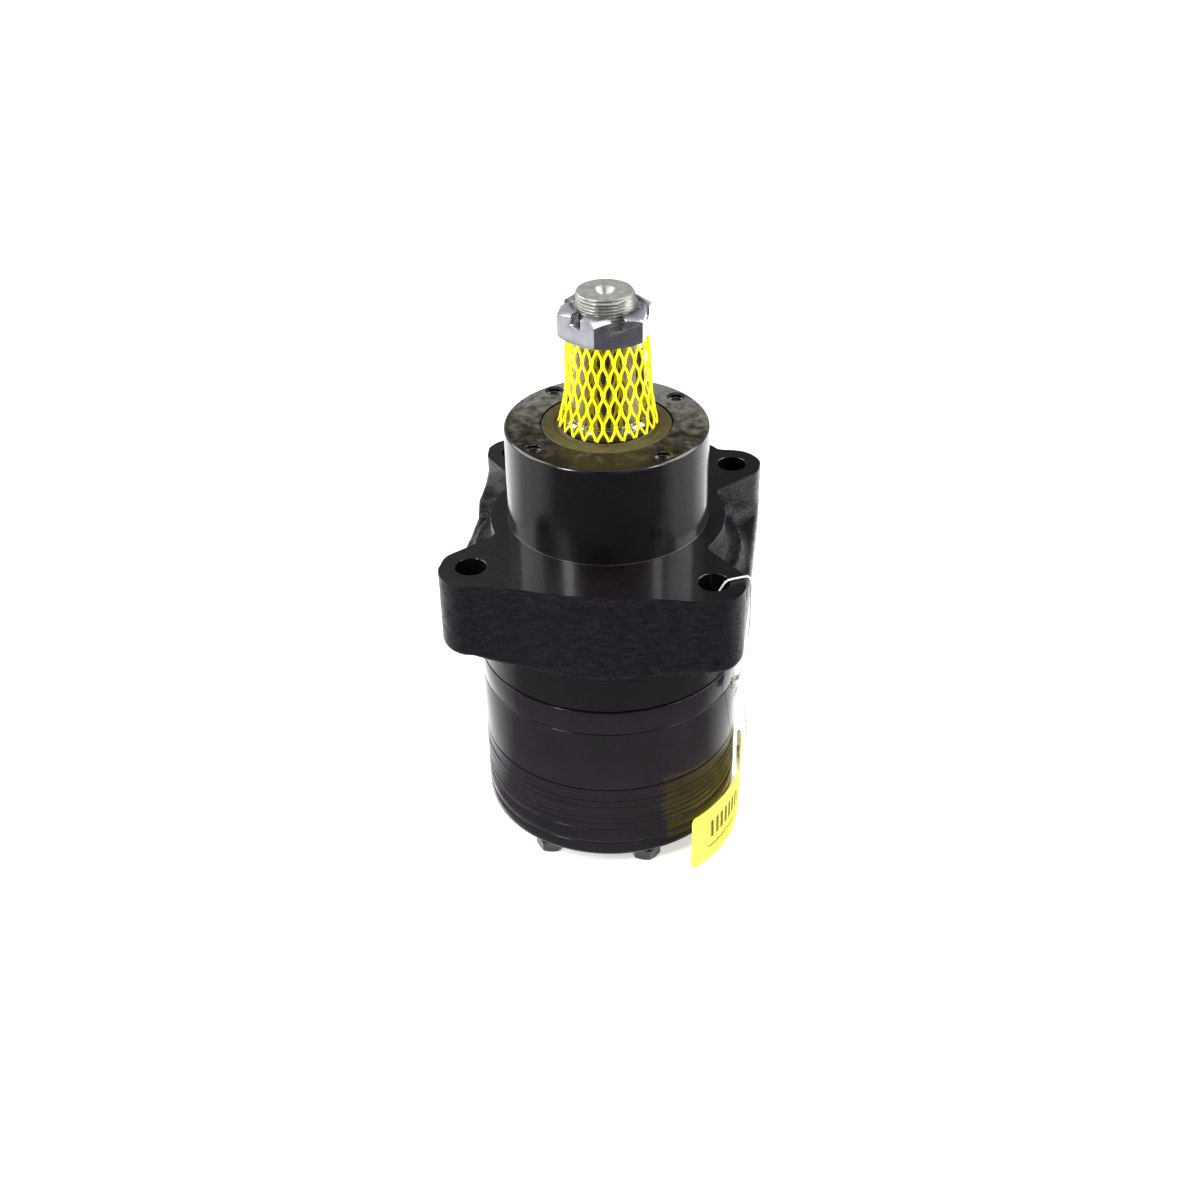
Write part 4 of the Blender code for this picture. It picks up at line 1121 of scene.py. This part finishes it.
def output_shaft():
    """Splined head, journal, ground taper and keyway; the threaded end is cut on it."""
    base, head_top, journal_end = low("coupling_shaft")[2], FLANGE_Z - 0.014, FLANGE_Z + 0.0485
    head = high("coupling_shaft")[0]
    outline = rounded([
        (0.0, base), (head - 0.0008, base), (head, base + 0.0008), (head, head_top), (JOURNAL_R, head_top),
        (JOURNAL_R, journal_end), (JOURNAL_R - 0.0016, TAPER_START), (TAPER_R + 0.0001, TAPER_START),
        (taper_radius(TAPER_END - 0.0005), TAPER_END - 0.0005), (taper_radius(TAPER_END) - 0.0006, TAPER_END),
        (0.0114, TAPER_END + 0.0006), (0.0114, TAPER_END + 0.0020), (0.0, TAPER_END + 0.0020)], 0.0003)
    shaft = turned("output_shaft", outline, ground_steel(), 144)
    mid = FLANGE_Z - 0.040
    mouth = turned_bmesh([(0.0, base - OVER), (0.0205, base - OVER), (0.0190, base + 0.0016),
                          (0.0190, mid - 0.011), (0.0, mid - 0.011)], 96)
    cut(shaft, mouth)
    cut(shaft, prism_bmesh([spline_loop(0.0156, 0.0176, 0.30)], mid - 0.0115, mid + 0.0095))
    way_r, way_x, way_half = 13.0 * MM, 19.1 * MM, 3.5 * MM
    way = prism_bmesh([circle(way_r, 64, (way_x, KEY_Z))], -way_half, way_half)
    cut(shaft, placed(way, Matrix.Rotation(pi / 2, 4, 'X')))
    finish_piece(shaft, SHAFT_BODY, "machined_steel", "coupling_shaft")


def shaft_thread():
    """Real helical thread with a chamfered end face and a centre-drill hole."""
    base, top = TAPER_END + 0.0012, SHAFT_END
    helix = helix_bolt(THREAD_R, THREAD_DEPTH, THREAD_PITCH, base, top, 96)
    rod = from_bmesh("shaft_thread", helix, thread_steel(), sharp=28)
    cham = turned_bmesh([(0.0, base - 0.002), (0.016, base - 0.002), (0.016, top - 0.0040),
                         (THREAD_R - 0.0005, top), (THREAD_R - 0.0005, top + 0.001), (0.0, top + 0.001)], 96)
    cut(rod, cham, 'INTERSECT', sharp=28)
    pilot, mouth = 1.6 * MM, 4.6 * MM
    drill = rounded([(0.0, top - 0.0075), (pilot, top - 0.0068), (pilot, top - 0.0034),
                     (0.0040, top - 0.0006), (mouth, top), (mouth, top + OVER), (0.0, top + OVER)], 0.0002)
    cut(rod, turned_bmesh(drill, 64), sharp=28)
    rod.data.materials.append(turned_end())
    for face in rod.data.polygons:
        face.material_index = int(face.normal.z > 0.9 and face.center.z > top - 0.0001)
    finish_piece(rod, SHAFT_BODY, "machined_steel")


def slotted_nut():
    """Castle-topped hexagon: chamfers both ends, six slots, threaded bore and softened edges."""
    corner = NUT_FLATS / 2 / cos(pi / 6)
    hexagon = prism_bmesh([circle(corner, 6, first=NUT_TURN)], NUT_BASE, NUT_TOP)
    nut = from_bmesh("castle_nut", hexagon, zinc_plate())
    top_r = corner - (NUT_TOP - NUT_CORNER_Z) / CHAMFER_30
    low_cham = 0.0012
    envelope = turned_bmesh([
        (0.0, NUT_BASE), (corner - low_cham / CHAMFER_30, NUT_BASE),
        (corner + OVER, NUT_BASE + low_cham + OVER * CHAMFER_30),
        (corner + OVER, NUT_CORNER_Z - 0.0006), (top_r, NUT_TOP), (0.0, NUT_TOP)], 144)
    cut(nut, envelope, 'INTERSECT')
    half, floor_z, fillet = 0.0030, NUT_TOP - 0.0060, 0.0008
    section = [(-half, floor_z + fillet), (-half + fillet, floor_z), (half - fillet, floor_z),
               (half, floor_z + fillet), (half, NUT_TOP + 2 * OVER), (-half, NUT_TOP + 2 * OVER)]
    for k in range(3):
        turn = NUT_TURN + pi / 6 + k * pi / 3
        stand = (Matrix.Rotation(turn, 4, 'Z') @ Matrix.Rotation(pi / 2, 4, 'Z')
                 @ Matrix.Rotation(pi / 2, 4, 'X'))
        cut(nut, placed(prism_bmesh([section], -0.03, 0.03), stand))
    bore = THREAD_R + 0.0002
    teeth = thread_teeth(bore - 0.0001, 0.0005, THREAD_PITCH, NUT_BASE + 0.0012, NUT_TOP - 0.0010)
    hole = ([(0.0, NUT_BASE - OVER), (bore + 0.0014, NUT_BASE - OVER), (bore + 0.0010, NUT_BASE)]
            + teeth + [(bore + 0.0009, NUT_TOP), (bore + 0.0009, NUT_TOP + OVER), (0.0, NUT_TOP + OVER)])
    cut(nut, turned_bmesh(hole, 96))
    bevel(nut, NUT_SOFTENING, 32)
    finish_piece(nut, SHAFT_BODY, "zinc_plate", "slotted_nut")


SLEEVE_BASE, SLEEVE_TOP = heights("shaft_sleeve")
STRAND_EASE = 0.085                  # how far the strands lean towards the places where they cross


def sleeve_radius(z, angle):
    """Middle of the netting: flared over the journal, drawn in on the taper, pushed out by the key."""
    t = (z - SLEEVE_BASE) / (SLEEVE_TOP - SLEEVE_BASE)
    flare = 0.0035 * max(0.0, 1 - t / 0.45) ** 1.6
    over_key = 0.0022 * max(0.0, cos(angle)) ** 4 * max(0.0, 1 - ((z - KEY_Z) / 0.030) ** 2)
    return 0.0176 - 0.0008 * t + flare + over_key


def net_sleeve():
    """Diamond netting: two sets of strands winding opposite ways, thicker where they fuse."""
    cells, row = 23, 14.2 * MM
    sides, steps = 8, 72
    half_wide, half_thick = 0.60 * MM, 0.48 * MM
    rng = np.random.default_rng(5)
    bm = bmesh.new()
    for way in (1, -1):
        for start in around(cells):
            sway = rng.normal(0.0, 0.012, 3)
            foot = SLEEVE_BASE + 0.0002 + abs(rng.normal(0, 0.0004))
            rings = []
            for i in range(steps + 1):
                z = foot + (SLEEVE_TOP - foot) * i / steps
                u = 2 * (z - SLEEVE_BASE) / row + 0.15
                eased = u - STRAND_EASE * sin(2 * pi * u)
                t = (z - SLEEVE_BASE) / (SLEEVE_TOP - SLEEVE_BASE)
                angle = start + way * pi / cells * eased + sway[0] * sin(pi * t) + sway[1] * sin(2 * pi * t)
                crossing = 0.5 + 0.5 * cos(2 * pi * u)
                wide = half_wide * (1 + 0.30 * crossing ** 4)
                r = sleeve_radius(z, angle) + way * 0.00018 * (1 - 0.5 * crossing)
                centre = Vector((*at_angle(r, angle), z))
                rate = way * pi / cells * 2 / row * (1 - STRAND_EASE * 2 * pi * cos(2 * pi * u))
                along = Vector((-r * rate * sin(angle), r * rate * cos(angle), 1.0)).normalized()
                out = Vector((cos(angle), sin(angle), 0.0))
                across = along.cross(out).normalized()
                rings.append([bm.verts.new(centre + across * wide * cos(a) + out * half_thick * sin(a))
                              for a in around(sides)])
            bridge(bm, rings)
    net = from_bmesh("net_sleeve", bm, net_plastic(), sharp=60)
    finish_piece(net, SHAFT_BODY, "net_plastic", "shaft_sleeve")


def dust_seal():
    """Moulded seal, flush in the hub, with a raised lip round the journal."""
    base, top = low("dirt_seal")[2], HUB_TOP - 0.0002
    outline = rounded([
        (0.0215, base), (SEAL_R, base), (SEAL_R, top - 0.0005), (SEAL_R - 0.0006, top), (0.0232, top),
        (0.0226, top - 0.0007), (0.0214, top - 0.0007), (0.0205, top), (JOURNAL_R + 0.0008, top - 0.0001),
        (JOURNAL_R + 0.00025, top - 0.0009), (JOURNAL_R + 0.0003, top - 0.0020),
        (0.0208, top - 0.0034)], 0.0003)
    # The seal's olive-yellow colour is a painted reflection of the yellow net over its black rubber.
    seal = turned("dust_seal", outline, rubber("dust_seal_rubber", (0.046, 0.038, 0.012)), 144)
    finish_piece(seal, HOUSING_BODY, "dust_seal_rubber", "dirt_seal")


# ---- tag and string -----------------------------------------------------------------------------
TAG_START, TAG_END = -51.5, 17.0
EYELET_TURN = 12.5
KNOT_Z = FLANGE_Z - 0.0745


def tag_path(turn):
    """Plan of the tag round the body: well clear at its free end, close in beside the string."""
    t = (turn - TAG_START) / (TAG_END - TAG_START)
    radius = 0.0735 - 0.0090 * min(1.0, t / 0.68) ** 1.25 + 0.0006 * max(0.0, t - 0.68)
    return at_angle(radius, radians(turn))


def tag():
    """Flexible tag with rounded and cut corners, a slight wave, a raised eyelet ring and printed bars."""
    base, top = heights("tag")
    thick, across, along = 0.00045, 20, 96
    plan = [Vector(tag_path(TAG_START + (TAG_END - TAG_START) * i / along)) for i in range(along + 1)]
    run = [0.0]
    for a, b in zip(plan, plan[1:]):
        run.append(run[-1] + (b - a).length)
    length = run[-1]
    bm = bmesh.new()
    layer = bm.loops.layers.uv.new("print")
    front, back, marks = [], [], {}
    start_round, end_corner = 2.2 * MM, 6.0 * MM
    for i, p in enumerate(plan):
        before, after = plan[max(0, i - 1)], plan[min(along, i + 1)]
        tangent = (after - before).normalized()
        out = Vector((tangent.y, -tangent.x))
        start_cut = max(0.0, start_round - run[i])
        end_cut = max(0.0, end_corner - (length - run[i]))
        trim = start_round - math.sqrt(max(0.0, start_round ** 2 - start_cut ** 2)) + end_cut
        row_front, row_back = [], []
        for j in range(across + 1):
            v = j / across
            z = base + trim + (top - base - 2 * trim) * v
            wave = 0.0004 * sin(9.0 * run[i] / length + 2.2 * v) * (1 - run[i] / length)
            for row, side in ((row_front, 1), (row_back, -1)):
                q = p + out * (wave + side * thick / 2)
                vert = bm.verts.new((q.x, q.y, z))
                marks[vert] = (run[i] / length, (z - base) / (top - base))
                row.append(vert)
        front.append(row_front)
        back.append(row_back)
    for i in range(along):
        for j in range(across):
            bm.faces.new((front[i][j], front[i + 1][j], front[i + 1][j + 1], front[i][j + 1]))
            bm.faces.new((back[i][j + 1], back[i + 1][j + 1], back[i + 1][j], back[i][j]))
        for j, (a, b) in ((0, (back, front)), (across, (front, back))):
            bm.faces.new((a[i][j], a[i + 1][j], b[i + 1][j], b[i][j]))
    for i, (a, b) in ((0, (front, back)), (along, (back, front))):
        for j in range(across):
            bm.faces.new((a[i][j], a[i][j + 1], b[i][j + 1], b[i][j]))
    for face in bm.faces:
        for loop in face.loops:
            loop[layer].uv = marks[loop.vert]
    piece = from_bmesh("yellow_tag", bm, tag_plastic(), sharp=50)
    middle = Vector((*tag_path(EYELET_TURN), (base + top) / 2))
    lay = (Matrix.Translation(middle) @ Matrix.Rotation(radians(EYELET_TURN), 4, 'Z')
           @ Matrix.Rotation(pi / 2, 4, 'Y'))
    cut(piece, placed(prism_bmesh([circle(0.0022, 32)], -0.01, 0.01), lay), sharp=50)
    inner, outer, half = 1.9 * MM, 3.4 * MM, 0.6 * MM
    ring = rounded([(inner, -half), (outer, -half), (outer, half), (inner, half)], 0.0003)
    eyelet = from_bmesh("tag_eyelet", placed(turned_bmesh(ring, 40), lay),
                        rubber("eyelet_plastic", (0.5, 0.5, 0.47)))
    finish_piece(eyelet, HOUSING_BODY, "tag_plastic")
    finish_piece(piece, HOUSING_BODY, "tag_plastic", "tag")


def smooth_route(points, per_span):
    """Catmull-Rom curve through the route's own points."""
    padded = [2 * points[0] - points[1]] + points + [2 * points[-1] - points[-2]]
    route = []
    for a, b, c, d in zip(padded, padded[1:], padded[2:], padded[3:]):
        for i in range(per_span):
            t = i / per_span
            route.append(0.5 * (2 * b + (c - a) * t + (2 * a - 5 * b + 4 * c - d) * t ** 2
                                + (3 * b - a - 3 * c + d) * t ** 3))
    route.append(points[-1])
    return route


def string_points():
    """From the knot up under the ear, through the bolt hole, over its edge, and down to the tag's eyelet.

    Each span has the height that it is measured from, then its points in millimetres.
    """
    spans = (
        (KNOT_Z, (61.2, -21.5, -4.0), (60.8, -22.2, 3.0), (61.3, -29.0, 17.0)),
        (BLOCK_BASE, (60.0, -37.5, -12.0), (56.8, -45.0, -5.5), (54.5, -48.6, -0.5), (53.3, -50.3, 8.0),
         (52.9, -51.0, 19.0)),
        (FLANGE_Z, (53.6, -52.0, -8.0), (55.3, -52.3, -2.8), (57.3, -51.7, 0.4), (59.3, -50.7, 1.0),
         (61.8, -49.1, 0.8), (64.5, -47.8, 0.8), (66.2, -47.1, 0.6), (67.3, -46.4, -1.2),
         (67.7, -45.3, -5.0), (67.7, -43.0, -15.0), (67.6, -39.2, -29.0), (66.7, -34.5, -45.0),
         (64.5, -28.2, -62.0)),
        (KNOT_Z, (63.2, -22.2, 4.0), (63.7, -18.0, -6.0), (65.5, -12.0, -19.0), (66.4, -5.0, -33.0),
         (66.8, 4.0, -46.0), (66.4, 11.0, -56.0)),
        (0.0, (65.2, 13.8, 17.8), (63.8, 14.1, 16.3), (62.6, 13.9, 15.2)))
    return [Vector((x * MM, y * MM, level + z * MM)) for level, *points in spans for x, y, z in points]


PLIES, PLY_PITCH, TUBE_SIDES = 3, 1.6 * MM, 12


def twisted_tube(bm, route, radius):
    """Laid string: a tube whose section has a lobe for each ply and turns along the route."""
    rings, run = [], 0.0
    normal = Vector((0.0, 0.0, 1.0))
    for i, p in enumerate(route):
        ahead = (route[min(i + 1, len(route) - 1)] - route[max(i - 1, 0)]).normalized()
        if i:
            run += (p - route[i - 1]).length
        normal = normal - ahead * normal.dot(ahead)
        if normal.length < 1e-4:
            normal = ahead.orthogonal()
        normal.normalize()
        other = ahead.cross(normal)
        ring = []
        for a in around(TUBE_SIDES):
            lobe = 1 + 0.13 * cos(PLIES * a - 2 * pi * run / PLY_PITCH)
            ring.append(bm.verts.new(p + (normal * cos(a) + other * sin(a)) * radius * lobe * 0.92))
        rings.append(ring)
    bridge(bm, rings)


def tag_string():
    radius = 0.45 * MM
    route = smooth_route(string_points(), 24)
    bm = bmesh.new()
    twisted_tube(bm, route, radius)
    mat = cotton()
    string = from_bmesh("tag_string", bm, mat, sharp=80)
    finish_piece(string, HOUSING_BODY, "string", "tag_tie")
    knot = string_knot(mat)


def string_knot(mat):
    """Wrapped knot by the wear plate, with two short frayed ends."""
    centre = Vector((0.0622, -0.0220, KNOT_Z))
    outward = Vector((centre.x, centre.y, 0.0)).normalized()
    sideways = Vector((-outward.y, outward.x, 0.0))
    bm = bmesh.new()
    wraps = []
    steps, per_turn = 90, 20
    for i in range(steps + 1):
        a = 2 * pi * i / per_turn
        z = -0.0042 + 0.0084 * i / steps
        bulge = 1.0 + 0.50 * sin(pi * i / steps)
        wraps.append(centre + outward * 0.00140 * bulge * cos(a) + sideways * 0.0024 * bulge * sin(a)
                     + Vector((0.0, 0.0, z)))
    twisted_tube(bm, wraps, 0.00085)
    for lean, reach in ((-1.0, 0.0075), (-0.35, 0.0085), (-1.4, 0.0060)):
        end = []
        for k in range(13):
            t = k / 12
            rise = -0.002 + 0.004 * t + reach * 0.7 * t * (0.4 - lean * 0.25) - 0.006 * t * t
            end.append(centre + outward * (0.0016 + 0.0012 * t) + sideways * (lean * reach * t)
                       + Vector((0.0, 0.0, rise)))
        twisted_tube(bm, end, 0.00055)
    knot = from_bmesh("string_knot", bm, mat, sharp=80)
    return finish_piece(knot, HOUSING_BODY, "string")


# ---- pieces inside ------------------------------------------------------------------------------
def paint_nodes(mat, *names):
    for name in names:
        node = frame["nodes"][name]
        node.data.materials.clear()
        node.data.materials.append(mat)


def inner_pieces():
    """The CAD solids inside the motor keep their shape and take real finishes."""
    rollers = ["roller_%d" % (k + 1) for k in range(COVER_BOLTS)]
    paint_nodes(bearing_steel("polished_bearing_steel"), "outer_bearing_shell", "inner_bearing_shell",
                "front_thrust_washer", "rear_thrust_washer", "backup_washer", "retaining_ring",
                "outer_bearing_cage", "inner_bearing_cage", "front_thrust_bearing", "rear_thrust_bearing",
                *rollers)
    paint_nodes(ground_steel(), "rotor", "drive_link", "woodruff_key")
    paint_nodes(bearing_steel("lapped_bronze", (0.42, 0.30, 0.16)), "commutator")
    paint_nodes(rubber("body_seal_rubber"), "shaft_seal", "housing_body_seal", "wear_plate_body_seal",
                "manifold_body_seal", "cover_body_seal", "commutator_seal")


# ---- the motor ----------------------------------------------------------------------------------
studio()
housing()
wear_plate()
stator()
manifold()
commutator_ring()
end_cover()
cover_bolts()
output_shaft()
shaft_thread()
slotted_nut()
net_sleeve()
dust_seal()
tag_string()
tag()
inner_pieces()
